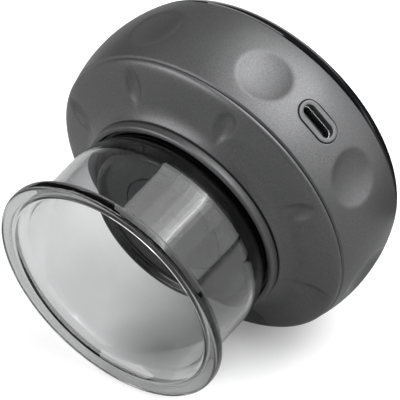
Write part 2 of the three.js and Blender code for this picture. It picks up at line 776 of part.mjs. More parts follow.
function chassis() {
  const plate = rod(insideRadius, chassisBottom, chassisThickness, hiddenFlats);
  const postLength = displayBoardHeight - seam - chassisTop;
  const posts = postAngles.map((angle) => rod(
    postRadius,
    chassisTop - overrun / 2,
    postLength + overrun / 2,
    smallFlats,
  ).translate(...onCircle(postCircleRadius, angle), 0));
  const standoffs = standoffShares.map(([x, y]) => rod(
    standoffRadius,
    chassisTop - overrun / 2,
    boardBottom - seam - chassisTop + overrun / 2,
    smallFlats,
  ).translate(x * insideRadius, y * insideRadius, 0));
  const inset = saddleInsetShare * motorLength;
  const saddles = [saddle(motorBack + inset), saddle(motorFront - inset)];
  const motorRoom = rod(motorRadius + seam, -motorLength, 2 * motorLength, ringFlats)
    .rotateX(Math.PI / 2)
    .translate(-pumpOffset, motorBack + motorLength / 2, motorHeight);
  const shankHoles = caseScrewAngles.map((angle) => rod(
    caseScrewRadius + seam,
    chassisBottom - overrun,
    chassisThickness + 2 * overrun,
    smallFlats,
  ).translate(...onCircle(caseScrewCircleRadius, angle), 0));
  return cut(fuse([plate, ...posts, ...standoffs, ...saddles]), [
    motorRoom,
    rod(chassisHoleRadius, chassisBottom - overrun, chassisThickness + 2 * overrun),
    ...shankHoles,
    ...postHoles(boardScrewRadius + seam, displayBoardHeight - boardScrewLength, boardScrewLength, 0),
  ]);
}
piece('chassis', chassis(), innerPlastic(), inside);

// Screws with a round head and a driver recess
function screw(name, radius, length, headRadius, headHeight, place) {
  const shank = [[0, -length], [radius, -length], [radius, 0]];
  const head = [[headRadius, 0], [headRadius, headHeight], [driveRadius, headHeight]];
  const recess = [[driveRadius, headHeight - driveDepth], [0, headHeight - driveDepth]];
  piece(name, revolve([...shank, ...head, ...recess], smallFlats), bareMetal(), inside)
    .position.set(...place);
}
caseScrewAngles.forEach((angle, i) => screw(
  `case_screw_${i + 1}`,
  caseScrewRadius,
  caseScrewLength - seam,
  caseScrewHeadRadius,
  caseScrewHeadHeight,
  [...onCircle(caseScrewCircleRadius, angle), chassisTop + seam],
));
postAngles.forEach((angle, i) => screw(
  `board_screw_${i + 1}`,
  boardScrewRadius,
  boardScrewLength - seam,
  boardScrewHeadRadius,
  boardScrewHeadHeight,
  [...onCircle(postCircleRadius, angle), displayBoardTop + seam],
));

// Main board with its soldered chips, and the pressure sensor beside them
const mainBoardNear = mainBoardNearShare * insideRadius;
const mainBoardFar = caseRadius - mainBoardInset;
const mainBoardLength = mainBoardFar - mainBoardNear;
const mainBoardLeft = -mainBoardLeftShare * insideRadius;
const mainBoardRight = mainBoardRightShare * insideRadius;
const boardMiddle = (mainBoardLeft + mainBoardRight) / 2;
const alongBoard = (share) => mainBoardNear + share * mainBoardLength;
function onBoard(centreShare, sizeShare, height) {
  const half = (sizeShare * mainBoardLength) / 2;
  return block(
    [alongBoard(centreShare) - half, boardMiddle - half, boardTop - overrun / 2],
    [alongBoard(centreShare) + half, boardMiddle + half, boardTop + height],
  );
}
piece('main_board', fuse([
  block([mainBoardNear, mainBoardLeft, boardBottom], [mainBoardFar, mainBoardRight, boardTop]),
  block(
    [mainBoardFar - overrun, -boardTabHalfWidth, boardBottom],
    [caseRadius - boardTabInset, boardTabHalfWidth, boardTop],
  ),
  onBoard(chipCentreShare, chipShare, chipHeight),
  onBoard(inductorCentreShare, inductorShare, inductorHeight),
]), boardGreen(), inside);
piece('pressure_sensor', fuse([
  block([-sensorSize / 2, -sensorSize / 2, 0], [sensorSize / 2, sensorSize / 2, sensorHeight]),
  rod(sensorPortRadius, sensorHeight - overrun / 2, sensorPortHeight + overrun / 2, smallFlats),
]), bareMetal(), inside)
  .position.set(alongBoard(sensorCentreShare), boardMiddle, boardTop + seam);

// Charging socket behind its bezel
piece('usb_bezel', facingOut(cut(
  slab(bezelLength, bezelWidth, bezelThickness).translate(0, 0, bezelFace - bezelThickness),
  [slab(slotLength, slotWidth, bezelThickness + 2 * overrun).translate(0, 0, bezelFace - bezelThickness - overrun)],
), portAngle, portHeight), greyShell());

const socketMouth = bezelFace - bezelThickness - seam;
const socketBack = socketMouth - socketDepth;
piece('usb_shell', facingOut(cut(
  slab(socketLength, socketWidth, socketDepth).translate(0, 0, socketBack),
  [
    slab(socketLength - 2 * socketWall, socketWidth - 2 * socketWall, socketDepth + 2 * overrun)
      .translate(0, 0, socketBack - overrun),
  ],
), portAngle, portHeight), bareMetal());

const tongueBackLength = socketLength - 2 * socketWall - 2 * seam;
const tongueBackWidth = socketWidth - 2 * socketWall - 2 * seam;
piece('usb_tongue', facingOut(fuse([
  slab(tongueBackLength, tongueBackWidth, tongueBackDepth).translate(0, 0, socketBack),
  block(
    [-tongueWidth / 2, -tongueThickness / 2, socketBack + tongueBackDepth / 2],
    [tongueWidth / 2, tongueThickness / 2, socketMouth - tongueRecess],
  ),
]), portAngle, portHeight), blackPlastic());

// Battery on a foam pad, with its two leads to the main board
const batteryBottom = chassisTop + 2 * seam + padThickness;
const batteryLength = batteryLengthShare * insideRadius;
const batteryWidth = batteryWidthShare * insideRadius;
const batteryThickness = batteryRoomShare * roomHeight;
const batteryShift = batteryShiftShare * insideRadius;
const batteryMiddle = batteryEdge + batteryWidth / 2;
piece('battery_pad', slab(
  batteryLength - 2 * padInset,
  batteryWidth - 2 * padInset,
  padThickness,
  batteryCorner,
), finish(0xd8d4c8, 0.9), inside).position.set(batteryShift, batteryMiddle, chassisTop + seam);
piece('battery', slab(batteryLength, batteryWidth, batteryThickness, batteryCorner), finish(0x9fb4c9, 0.4, 0.3), inside)
  .position.set(batteryShift, batteryMiddle, batteryBottom);

const batteryEnd = batteryShift + batteryLength / 2;
['battery_lead_plus', 'battery_lead_minus'].forEach((name, i) => {
  const start = batteryEdge + leadSpacing + i * leadSpacing;
  const out = batteryEnd + seam;
  const turn = out + leadBend / 2 + i * leadSpacing;
  const height = batteryBottom + batteryThickness / 2;
  const landing = boardTop + seam + leadRadius;
  const route = [
    [out, start, height],
    [out + leadBend / 3, start, height],
    [turn, batteryEdge, height],
    [turn, mainBoardRight, landing + leadBend / 2],
    [turn, mainBoardRight - leadBend, landing],
  ];
  const color = i ? 0x1c1c1e : 0xb3262a;
  piece(name, tube(route, leadRadius), finish(color, 0.5), inside);
});

// Pump motor: a can with a front boss and a hole for the shaft
const motorGroup = new THREE.Group(); // its Z axis is the motor axis, zero at the front face
motorGroup.position.set(-pumpOffset, motorFront, motorHeight);
motorGroup.rotation.x = -Math.PI / 2;
inside.add(motorGroup);
const shaftHole = shaftRadius + runningGap;
piece('pump_motor', revolve([
  [0, -motorLength],
  [motorRadius - motorEdge, -motorLength],
  [motorRadius, motorEdge - motorLength],
  [motorRadius, -motorEdge],
  [motorRadius - motorEdge, 0],
  [motorBossRadius, 0],
  [motorBossRadius, motorBossLength],
  [shaftHole, motorBossLength],
  [shaftHole, -shaftBuried - seam],
  [0, -shaftBuried - seam],
], hiddenFlats), bareMetal(), motorGroup);

// Pump head in front of the motor, with a cavity for the eccentric and two barbs for tubes
const headSize = 2 * motorRadius;
const barbSpread = headSize / 4;
const barbHeights = [barbSpread, -barbSpread];
function pumpHead() {
  const half = headSize / 2;
  const bottom = seam;
  const barbs = barbHeights.map((height) => rod(barbRadius, half - overrun, barbLength + overrun, smallFlats)
    .rotateY(Math.PI / 2)
    .translate(0, -height, headLength / 2));
  return cut(fuse([block([-half, -half, bottom], [half, half, bottom + headLength]), ...barbs]), [
    rod(headCavityShare * half, bottom - overrun, headCavityDepth + overrun, rodFlats),
  ]);
}
piece('pump_head', pumpHead(), innerPlastic(), motorGroup);

// Motor shaft and the eccentric that it drives; the eccentric is pressed on the shaft, so the
// two turn together
const eccentricBore = shaftRadius + runningGap / 2;
piece('motor_shaft', rod(shaftRadius, -shaftBuried, shaftLength), bareMetal(), motorGroup);
piece('pump_eccentric', cut(
  rod(eccentricRadius, eccentricStart, eccentricThickness).translate(eccentricThrow, 0, 0),
  [rod(eccentricBore, eccentricStart - overrun, eccentricThickness + 2 * overrun)],
), finish(0xe8e4d8, 0.5), motorGroup);

// Release valve: a solenoid block with a sprung plunger
const valveBottom = chassisTop + seam;
const valveHeight = valveRoomShare * roomHeight;
const valveTop = valveBottom + valveHeight;
const valveCentreAlong = -pumpOffset + motorRadius + valveGap + valveLength / 2;
const valveCentreAcross = -valveAcrossShare * insideRadius;
const valvePlace = [valveCentreAlong, valveCentreAcross, 0];
const plungerBottom = valveTop - valvePlungerBuried;
piece('valve_body', cut(fuse([
  block(
    [-valveLength / 2, -valveWidth / 2, valveBottom],
    [valveLength / 2, valveWidth / 2, valveTop],
  ),
  rod(barbRadius, valveWidth / 2 - overrun, barbLength + overrun, smallFlats)
    .rotateX(-Math.PI / 2)
    .translate(0, 0, valveBottom + valveHeight / 2),
]), [
  rod(
    valvePlungerRadius + runningGap,
    plungerBottom - valveTravel - seam,
    valvePlungerBuried + valveTravel + seam + overrun,
  ),
]), innerPlastic(), inside).position.set(...valvePlace);
piece('valve_plunger', revolve([
  [0, plungerBottom],
  [valvePlungerRadius, plungerBottom],
  [valvePlungerRadius, plungerBottom + valvePlungerLength - valveHeadHeight],
  [valveHeadRadius, plungerBottom + valvePlungerLength - valveHeadHeight],
  [valveHeadRadius, plungerBottom + valvePlungerLength],
  [0, plungerBottom + valvePlungerLength],
], rodFlats), bareMetal(), inside).position.set(...valvePlace);

// Silicone tubes: from the intake up to the pump, and from the pump to the release valve
const headFace = -pumpOffset + headSize / 2;
const barbAlong = motorFront + headLength / 2;
const tubeBore = tubeRadius - tubeWall;
const tubeEnd = headFace + barbLength - tubeGrip;
const upperBarb = motorHeight + barbHeights[0];
const lowerBarb = motorHeight + barbHeights[1];
piece('intake_tube', tube([
  [0, 0, intakeTop - tubeGrip],
  [0, 0, intakeTop],
  [0, 0, chassisTop + tubeRadius],
  [0, 0, (chassisTop + upperBarb) / 2],
  [tubeEnd / 3, barbAlong / 2, upperBarb - tubeRadius / 2],
  [tubeEnd + tubeGrip, barbAlong, upperBarb],
  [tubeEnd, barbAlong, upperBarb],
], tubeRadius, tubeBore), finish(0xe4e6e8, 0.5), inside);
const valveBarbTip = valveCentreAcross + valveWidth / 2 + barbLength;
const valveBarbHeight = valveBottom + valveHeight / 2;
piece('vent_tube', tube([
  [tubeEnd, barbAlong, lowerBarb],
  [tubeEnd + tubeGrip, barbAlong, lowerBarb],
  [valveCentreAlong - tubeRadius, (barbAlong + valveBarbTip) / 2, (lowerBarb + valveBarbHeight) / 2],
  [valveCentreAlong, valveBarbTip, valveBarbHeight],
  [valveCentreAlong, valveBarbTip - tubeGrip, valveBarbHeight],
], tubeRadius, tubeBore), finish(0xe4e6e8, 0.5), inside);

// Lowest height of a ring-shaped outline when the device is tipped by an angle from lying level
function lowest(outline, tip) {
  const flat = Math.cos(Math.PI / ringFlats);
  return Math.min(...outline.map(([radius, height]) => height * Math.sin(tip) - radius * flat * Math.cos(tip)));
}

// The tip at which the case and the rim of the cup touch the table together
function restingTip() {
  let low = 0;
  let high = Math.PI / 4;
  for (let i = 0; i < ringFlats; i += 1) {
    const middle = (low + high) / 2;
    if (lowest(coverOutline, middle) < lowest(cupOutline, middle)) low = middle;
    else high = middle;
  }
  return (low + high) / 2;
}

// Lay the device on its side with the cup towards -Y, and put the origin under its middle
const massager = new THREE.Group();
const laid = new THREE.Group();
laid.rotation.x = restingTip() - Math.PI / 2;
laid.add(device);
massager.add(laid);
massager.updateMatrixWorld(true);
const bounds = new THREE.Box3().setFromObject(massager, true);
const centre = bounds.getCenter(new THREE.Vector3());
laid.position.set(-centre.x, -centre.y, -bounds.min.z);

export default massager;
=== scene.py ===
# %% [markdown]
# An electric cupping massager: a round rechargeable unit with a clear suction cup, lying on its side.
# The CAD model is the fixed frame. Its moving parts, sizes and places stay as they are, and this
# lesson dresses it: fine surfaces go over the faceted solids, and every surface gets its finish.

import math

import bmesh
import bpy
from mathutils import Matrix, Vector


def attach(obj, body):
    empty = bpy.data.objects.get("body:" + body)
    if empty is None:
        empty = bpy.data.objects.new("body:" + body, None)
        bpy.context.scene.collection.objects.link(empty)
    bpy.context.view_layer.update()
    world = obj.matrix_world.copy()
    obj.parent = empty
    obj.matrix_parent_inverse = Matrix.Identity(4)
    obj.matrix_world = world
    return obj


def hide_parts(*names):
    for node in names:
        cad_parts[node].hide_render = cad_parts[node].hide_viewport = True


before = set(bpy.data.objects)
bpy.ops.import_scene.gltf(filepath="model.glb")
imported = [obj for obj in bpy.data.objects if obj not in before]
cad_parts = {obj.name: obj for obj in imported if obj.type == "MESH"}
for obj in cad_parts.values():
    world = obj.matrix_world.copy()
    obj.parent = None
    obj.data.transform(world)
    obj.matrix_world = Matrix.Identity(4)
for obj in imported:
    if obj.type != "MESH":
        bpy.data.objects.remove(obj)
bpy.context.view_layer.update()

# %% [markdown]
# The camera comes first, because every later choice is judged through it. A long lens from about
# a metre away gives the flat, calm perspective of a catalogue picture.

# %% The camera
LOOK_DOWN = 33.589
LOOK_LEFT = 37.622

scene = bpy.context.scene
camera_lens = bpy.data.cameras.new("studio_camera")
camera_lens.lens = 450
camera_lens.sensor_width = 36
camera = bpy.data.objects.new("studio_camera", camera_lens)
camera.location = (0.54629, -0.70617, 0.62877)
camera.rotation_euler = (math.radians(90 - LOOK_DOWN), 0, math.radians(LOOK_LEFT))
scene.collection.objects.link(camera)
scene.camera = camera
print("camera distance in mm:", round(1000 * camera.location.length))

# %% [markdown]
# The device is drawn upright, in millimetres, with its axis along Z, the display on top and height
# zero at the seam between the two case shells. One matrix then lays it down the way it rests:
# on the side of its case and the rim of its cup. Every finished mesh goes through that matrix,
# so its object can stay at the origin.

# %% Laying the device down
TIP = math.radians(13.517)
SEAM_CENTRE = Vector((0, 3.8345, 35.6259))
LAY = Matrix.Scale(0.001, 4) @ Matrix.Translation(SEAM_CENTRE) @ Matrix.Rotation(TIP - math.pi / 2, 4, "X")
CASE_RADIUS = 38  # at its widest
PORT_ANGLE = -43
FIRST_DIMPLE = 24.5
DIMPLES = 8  # and as many scoops, one under each
SECTOR_STEPS = 90  # flat sides in the sector of one dimple or scoop


def outward(angle, height=0):
    """Turns a shape drawn flat so that it faces out of the side: X round the device, Y up, Z out."""
    place = Matrix.Translation((0, 0, height)) @ Matrix.Rotation(math.radians(angle), 4, "Z")
    frame_of_side = Matrix(((0, 0, 1, 0), (1, 0, 0, 0), (0, 1, 0, 0), (0, 0, 0, 1)))
    return place @ frame_of_side


print("the seam centre lies at", [round(value, 4) for value in LAY @ Vector((0, 0, 0))])

# %% [markdown]
# Nearly every piece is round, so it is made as a turner makes it: draw half of its outline, then
# spin it. The outline is a chain of points; a corner is rounded by a vertex bevel, and an arc is
# swept by the same spin operator that later turns the whole outline.

# %% Drawing an outline and turning it
WELD = 0.0005  # points closer than this are one point
STEPS = 256  # flat sides round a satin piece
GLOSSY_STEPS = 384  # round a large piece whose gloss would show its flat sides
SMALL_STEPS = 96


def draw(marks, closed=True):
    """A wire outline in a new bmesh. A mark is a point (radius, height), a corner (radius, height,
    cutback) or an arc on from the last point ("arc", centre radius, centre height, degrees, steps)."""
    bm = bmesh.new()
    first = last = None
    corners = []
    for mark in marks:
        if mark[0] == "arc":
            _, centre_radius, centre_height, sweep, steps = mark
            swept = bmesh.ops.spin(bm, geom=[last], cent=(centre_radius, 0, centre_height), axis=(0, -1, 0),
                                   angle=math.radians(sweep), steps=steps, use_merge=False, use_duplicate=False)
            last = next(part for part in swept["geom_last"] if isinstance(part, bmesh.types.BMVert))
            continue
        point = bm.verts.new((mark[0], 0, mark[1]))
        if last is None:
            first = point
        else:
            bm.edges.new((last, point))
        if len(mark) == 3:
            corners.append((point, mark[2]))
        last = point
    if closed:
        bm.edges.new((last, first))
    for point, cutback in corners:
        bmesh.ops.bevel(bm, geom=[point], offset=cutback, segments=6, profile=0.5,
                        affect="VERTICES", material=-1)
    return bm


def turn(bm, steps=STEPS):
    """Spins the drawn outline round the device axis into a closed skin that faces out."""
    bmesh.ops.spin(bm, geom=bm.verts[:] + bm.edges[:], cent=(0, 0, 0), axis=(0, 0, 1),
                   angle=2 * math.pi, steps=steps, use_merge=True, use_duplicate=False)
    bmesh.ops.remove_doubles(bm, verts=bm.verts[:], dist=WELD)
    bmesh.ops.recalc_face_normals(bm, faces=bm.faces[:])
    return bm


def turn_sectors(bm, first_angle, count, steps, shape_one):
    """Turns one sector of a round piece, shapes it once, and repeats it round the axis."""
    sweep = 2 * math.pi / count
    start = math.radians(first_angle) - sweep / 2
    bmesh.ops.rotate(bm, verts=bm.verts[:], cent=(0, 0, 0), matrix=Matrix.Rotation(start, 3, "Z"))
    bmesh.ops.spin(bm, geom=bm.verts[:] + bm.edges[:], cent=(0, 0, 0), axis=(0, 0, 1),
                   angle=sweep, steps=steps, use_merge=False, use_duplicate=False)
    shape_one(bm)
    bmesh.ops.spin(bm, geom=bm.verts[:] + bm.edges[:] + bm.faces[:], cent=(0, 0, 0), axis=(0, 0, 1),
                   angle=2 * math.pi - sweep, steps=count - 1, use_merge=False, use_duplicate=True)
    bmesh.ops.remove_doubles(bm, verts=bm.verts[:], dist=WELD)
    bmesh.ops.recalc_face_normals(bm, faces=bm.faces[:])
    return bm


def arc_start(centre_radius, centre_height, radius, degrees):
    """The point of an arc at an angle above level, where the outline starts or meets it exactly."""
    angle = math.radians(degrees)
    return centre_radius + radius * math.cos(angle), centre_height + radius * math.sin(angle)


# %% [markdown]
# A finished drawing becomes an object in one place: it is laid down, shaded smooth with its real
# creases kept sharp, given its finish, and tied to the CAD body that it moves with. A painted
# piece also carries a number at each point that says how tightly the surface turns outwards there,
# because hands rub the paint off at such edges. The pointiness that Cycles offers can't do that on
# a mesh this fine: it takes points closer than a third of a millimetre for one point.

# %% Putting a finished piece in the scene
CREASE = 34  # degrees: a sharper turn between two faces is a real edge


def mark_edges(bm):
    """Stores one over the radius of the outward turn at each point, in millimetres."""
    bm.normal_update()
    layer = bm.verts.layers.float.new("outward_turn")
    for point in bm.verts:
        spokes = [edge.other_vert(point).co - point.co for edge in point.link_edges]
        reach = sum(spoke.length for spoke in spokes)
        point[layer] = max(0.0, -4 * sum(spoke.normalized().dot(point.normal) for spoke in spokes) / reach)


def put(bm, name, body, material, nodes):
    """Makes a drawing an object of the scene that takes the place of the named CAD nodes."""
    if material == SPRAYED:
        mark_edges(bm)
    bm.transform(LAY)
    mesh = bpy.data.meshes.new(name)
    bm.to_mesh(mesh)
    bm.free()
    mesh.shade_smooth()
    mesh.set_sharp_from_angle(angle=math.radians(CREASE))
    piece = bpy.data.objects.new(name, mesh)
    scene.collection.objects.link(piece)
    mesh.materials.append(material)
    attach(piece, body)
    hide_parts(*nodes)
    faces = sum(len(face.vertices) - 2 for face in mesh.polygons)
    print(f"{name}: {faces} triangles")


def carve(bm, cutters):
    """Cuts the cutters out of a drawing with the exact boolean, and gives the drawing back."""
    def as_object(drawing, name):
        mesh = bpy.data.meshes.new(name)
        drawing.to_mesh(mesh)
        drawing.free()
        thing = bpy.data.objects.new(name, mesh)
        scene.collection.objects.link(thing)
        return thing

    body = as_object(bm, "carving_body")
    tools = [as_object(cutter, "carving_tool") for cutter in cutters]
    for tool in tools:
        step = body.modifiers.new("cut", "BOOLEAN")
        step.operation = "DIFFERENCE"
        step.solver = "EXACT"
        step.object = tool
    bpy.context.view_layer.update()
    carved = bmesh.new()
    carved.from_object(body, bpy.context.evaluated_depsgraph_get())
    for thing in [body, *tools]:
        mesh = thing.data
        bpy.data.objects.remove(thing)
        bpy.data.meshes.remove(mesh)
    bmesh.ops.remove_doubles(carved, verts=carved.verts[:], dist=WELD)
    # The boolean can leave a sliver of a face hanging by two of its edges
    flaps = {face for edge in carved.edges if edge.is_boundary for face in edge.link_faces}
    bmesh.ops.delete(carved, geom=list(flaps), context="FACES")
    return carved


# %% [markdown]
# Thumb dimples and oval scoops are pressed into a surface that is already turned, the way a thumb
# presses clay: each point under the bowl moves to the bowl, and a soft minimum rounds the rim.
# A boolean cut would leave a knife edge that no moulded and sprayed part has.

# %% Pressing a hollow
FAR_OUT = 1.7  # squared distance from the middle, in half widths, past which no point moves
FAR_OFF = 1.5  # distance above or below the surface past which no point moves


def press(bm, facing, half_width, half_length, depth, drop, soft):
    """Presses a bowl into the surface. facing turns flat X, Y and Z to round, up and out at the centre
    of the hollow, drop is how far the surface itself falls away at the rim, and soft rounds the rim."""
    to_flat = facing.inverted()
    lift = facing.to_3x3() @ Vector((0, 0, 1))
    for point in bm.verts:
        x, y, z = to_flat @ point.co
        share = (x / half_width) ** 2 + (y / half_length) ** 2
        if share > FAR_OUT or abs(z) > FAR_OFF:
            continue
        bowl = (depth - drop) * share - depth
        blend = max(soft - abs(bowl - z), 0) / soft
        level = min(bowl, z) - blend * blend * soft / 4
        if level < z - 1e-6:
            point.co += lift * (level - z)


# %% [markdown]
# Materials are built from nodes in code. A few helpers keep that short. They add a node and link it,
# calculate with two values, stretch a range of values to another, and make or use a node group.

# %% Node helpers
def add(tree, kind, inputs=None, **settings):
    """Adds a node, sets its options, and fills or links its inputs."""
    node = tree.nodes.new(kind)
    for key, value in settings.items():
        setattr(node, key, value)
    for key, value in (inputs or {}).items():
        if isinstance(value, bpy.types.NodeSocket):
            tree.links.new(value, node.inputs[key])
        else:
            node.inputs[key].default_value = value
    return node


def calculate(tree, operation, first, second):
    """The result of an operation on two values, each a number or a socket."""
    return add(tree, "ShaderNodeMath", {0: first, 1: second}, operation=operation).outputs[0]


def ramp(tree, value, near, far, low=0.0, high=1.0):
    """Goes from low to high while a value goes from near to far, and no further."""
    return add(tree, "ShaderNodeMapRange", {"Value": value, "From Min": near, "From Max": far,
                                            "To Min": low, "To Max": high}).outputs["Result"]


def effect(name, inputs, outputs):
    """A new shader node group with its sockets, and its two end nodes."""
    group = bpy.data.node_groups.new(name, "ShaderNodeTree")
    for label, kind, value in inputs:
        socket = group.interface.new_socket(label, in_out="INPUT", socket_type=kind)
        if value is not None:
            socket.default_value = value
    for label, kind in outputs:
        group.interface.new_socket(label, in_out="OUTPUT", socket_type=kind)
    return group, group.nodes.new("NodeGroupInput"), group.nodes.new("NodeGroupOutput")


def use(tree, group, **inputs):
    """Uses a node group in a material, with its inputs filled or linked."""
    node = tree.nodes.new("ShaderNodeGroup")
    node.node_tree = group
    for key, value in inputs.items():
        socket = node.inputs[key.replace("_", " ")]
        if isinstance(value, bpy.types.NodeSocket):
            tree.links.new(value, socket)
        else:
            socket.default_value = value
    return node


# %% [markdown]
# The finishes share three effects: a fine grain, a slow cloudy variation and worn edges. Each is a
# node group with named inputs, so every finish can ask for its own size or amount.

# %% Shared effects
def make_grain():
    """Fine speckle of a sprayed or moulded skin: Size is the width of one grain in millimetres."""
    group, start, end = effect(
        "fine grain",
        [("Place", "NodeSocketVector", None), ("Size", "NodeSocketFloat", 0.2)],
        [("Speckle", "NodeSocketFloat")],
    )
    scale = calculate(group, "DIVIDE", 500.0, start.outputs["Size"])
    noise = add(group, "ShaderNodeTexNoise", {"Vector": start.outputs["Place"], "Scale": scale,
                                              "Detail": 3.0, "Roughness": 0.65})
    group.links.new(noise.outputs["Fac"], end.inputs["Speckle"])
    return group


def make_cloud():
    """Slow uneven patches, a few millimetres wide, as in any sprayed, polished or handled surface."""
    group, start, end = effect(
        "slow cloud",
        [("Place", "NodeSocketVector", None), ("Size", "NodeSocketFloat", 12.0)],
        [("Value", "NodeSocketFloat")],
    )
    scale = calculate(group, "DIVIDE", 1000.0, start.outputs["Size"])
    noise = add(group, "ShaderNodeTexNoise", {"Vector": start.outputs["Place"], "Scale": scale,
                                              "Detail": 4.0, "Roughness": 0.55})
    group.links.new(ramp(group, noise.outputs["Fac"], 0.3, 0.7), end.inputs["Value"])
    return group


def make_wear():
    """Rubbed edges, broken up by noise. They start where the surface turns outwards with a radius of
    1.25 mm, which is 0.8 per millimetre, and are full at 0.25 mm."""
    group, start, end = effect(
        "worn edges",
        [("Place", "NodeSocketVector", None), ("Amount", "NodeSocketFloat", 0.5)],
        [("Mask", "NodeSocketFloat")],
    )
    shape = add(group, "ShaderNodeAttribute", attribute_name="outward_turn")
    ridge = ramp(group, shape.outputs["Fac"], 0.8, 4.0)
    patch = add(group, "ShaderNodeTexNoise", {"Vector": start.outputs["Place"], "Scale": 260.0, "Detail": 5.0})
    broken = calculate(group, "MULTIPLY", ridge, patch.outputs["Fac"])
    amount = add(group, "ShaderNodeMath", {0: broken, 1: start.outputs["Amount"]},
                 operation="MULTIPLY", use_clamp=True)
    group.links.new(amount.outputs[0], end.inputs["Mask"])
    return group


GRAIN = make_grain()
CLOUD = make_cloud()
WEAR = make_wear()
print("effects:", [group.name for group in (GRAIN, CLOUD, WEAR)])

# %% [markdown]
# A finish starts as a bare Principled shader that reads places on the object. Sizes that are the
# same all over go straight on the shader; only what changes over the surface comes from nodes.

# %% Starting a finish
def finish(name, colour, roughness, **settings):
    """A new material with its tree, its shader and the socket that gives places on the object."""
    material = bpy.data.materials.new(name)
    material.use_nodes = True
    tree = material.node_tree
    tree.nodes.clear()
    shader = add(tree, "ShaderNodeBsdfPrincipled", {"Base Color": (*colour, 1), "Roughness": roughness})
    for key, value in settings.items():
        shader.inputs[key.replace("_", " ")].default_value = value
    out = add(tree, "ShaderNodeOutputMaterial")
    tree.links.new(shader.outputs[0], out.inputs[0])
    place = add(tree, "ShaderNodeTexCoord").outputs["Object"]
    return material, tree, shader, place


def tint(tree, shader, low, high, mask):
    """Mixes two colours by a mask into the base colour."""
    mix = add(tree, "ShaderNodeMix", data_type="RGBA")
    mix.inputs["A"].default_value = (*low, 1)
    mix.inputs["B"].default_value = (*high, 1)
    tree.links.new(mask, mix.inputs["Factor"])
    tree.links.new(mix.outputs["Result"], shader.inputs["Base Color"])


def over(tree, shader, colour, mask):
    """Lays one more colour over what already feeds the base colour."""
    before = shader.inputs["Base Color"].links[0].from_socket
    mix = add(tree, "ShaderNodeMix", data_type="RGBA")
    mix.inputs["B"].default_value = (*colour, 1)
    tree.links.new(before, mix.inputs["A"])
    tree.links.new(mask, mix.inputs["Factor"])
    tree.links.new(mix.outputs["Result"], shader.inputs["Base Color"])


def relief(tree, shader, height, strength, distance):
    """Raises and sinks the surface a little, by no more than a distance in metres."""
    bump = add(tree, "ShaderNodeBump", {"Height": height, "Strength": strength, "Distance": distance})
    tree.links.new(bump.outputs["Normal"], shader.inputs["Normal"])


def vary(tree, shader, value, low, high):
    """Lets the roughness follow a value between a low and a high."""
    tree.links.new(ramp(tree, value, 0.0, 1.0, low, high), shader.inputs["Roughness"])


# %% [markdown]
# The case is ABS sprayed with a satin dark-grey paint. The paint carries fine metal flecks, so it
# is partly metallic, with a speckle 0.15 mm wide that is also its relief, and lighter rubbed edges.

# %% The sprayed case finish
def sprayed_grey():
    material, tree, shader, place = finish("sprayed grey", (0.15, 0.15, 0.155), 0.42,
                                           Specular_IOR_Level=0.4, Metallic=0.6)
    grain = use(tree, GRAIN, Place=place, Size=0.15)
    cloud = use(tree, CLOUD, Place=place, Size=9.0)
    wear = use(tree, WEAR, Place=place, Amount=0.6)
    speckle = ramp(tree, grain.outputs["Speckle"], 0.32, 0.68)
    tint(tree, shader, (0.09, 0.09, 0.092), (0.138, 0.138, 0.141), speckle)
    over(tree, shader, (0.24, 0.24, 0.25), wear.outputs["Mask"])
    vary(tree, shader, cloud.outputs["Value"], 0.38, 0.44)
    relief(tree, shader, grain.outputs["Speckle"], 0.3, 0.00005)
    return material


SPRAYED = sprayed_grey()
print("case finish:", SPRAYED.name)

# %% [markdown]
# The upper shell is a bulging ring with eight round dimples for the fingers. The outline needs
# many short steps on its outside, so that the dimples' rims come out crisp when they are pressed.

# %% The upper shell
SIDE_ARC = 32.4
WIDEST = 9.2  # height at which the case is widest
SIDE_CENTRE = (5.6, WIDEST)
CASE_TOP = 21
CASE_WALL = 2.6
HALF_SEAM = 0.15
DIMPLE_RADIUS = 6.3
DIMPLE_DEPTH = 1.75
RIM_SOFTNESS = 0.3
SIDE_STEPS = 84


def side_radius(height, inset=0.0):
    """The radius of the bulging side, or of a skin at an inset from it, at a height."""
    return SIDE_CENTRE[0] + math.sqrt((SIDE_ARC - inset) ** 2 - (height - SIDE_CENTRE[1]) ** 2)


def side_angle(height, inset=0.0):
    """The angle above level at which the side's arc reaches a height."""
    return math.degrees(math.asin((height - SIDE_CENTRE[1]) / (SIDE_ARC - inset)))


def upper_shell():
    low, high = side_angle(0.5), side_angle(CASE_TOP - 0.15)
    low_in, high_in = side_angle(HALF_SEAM, CASE_WALL), side_angle(CASE_TOP, CASE_WALL)
    bm = draw([
        (side_radius(HALF_SEAM) - 0.9, HALF_SEAM),
        (side_radius(HALF_SEAM) - 0.35, HALF_SEAM),
        arc_start(*SIDE_CENTRE, SIDE_ARC, low),
        ("arc", *SIDE_CENTRE, high - low, SIDE_STEPS),
        (side_radius(CASE_TOP) - 0.2, CASE_TOP),
        arc_start(*SIDE_CENTRE, SIDE_ARC - CASE_WALL, high_in),
        ("arc", *SIDE_CENTRE, low_in - high_in, 8),
    ])
    facing = outward(FIRST_DIMPLE, WIDEST) @ Matrix.Translation((0, 0, CASE_RADIUS))
    drop = DIMPLE_RADIUS ** 2 / (CASE_RADIUS + SIDE_ARC)
    return turn_sectors(bm, FIRST_DIMPLE, DIMPLES, SECTOR_STEPS, lambda sector: press(
        sector, facing, DIMPLE_RADIUS, DIMPLE_RADIUS, DIMPLE_DEPTH, drop, RIM_SOFTNESS))


# %% [markdown]
# The charging port sits in a pocket whose mouth is rounded by the paint. The cutter for it flares
# at its top, and its top follows the bulge of the case, so the cut itself leaves the rounded rim.

# %% The pocket for the port
PORT_HEIGHT = 9.8
END_STEPS = 96  # steps of the two round ends together


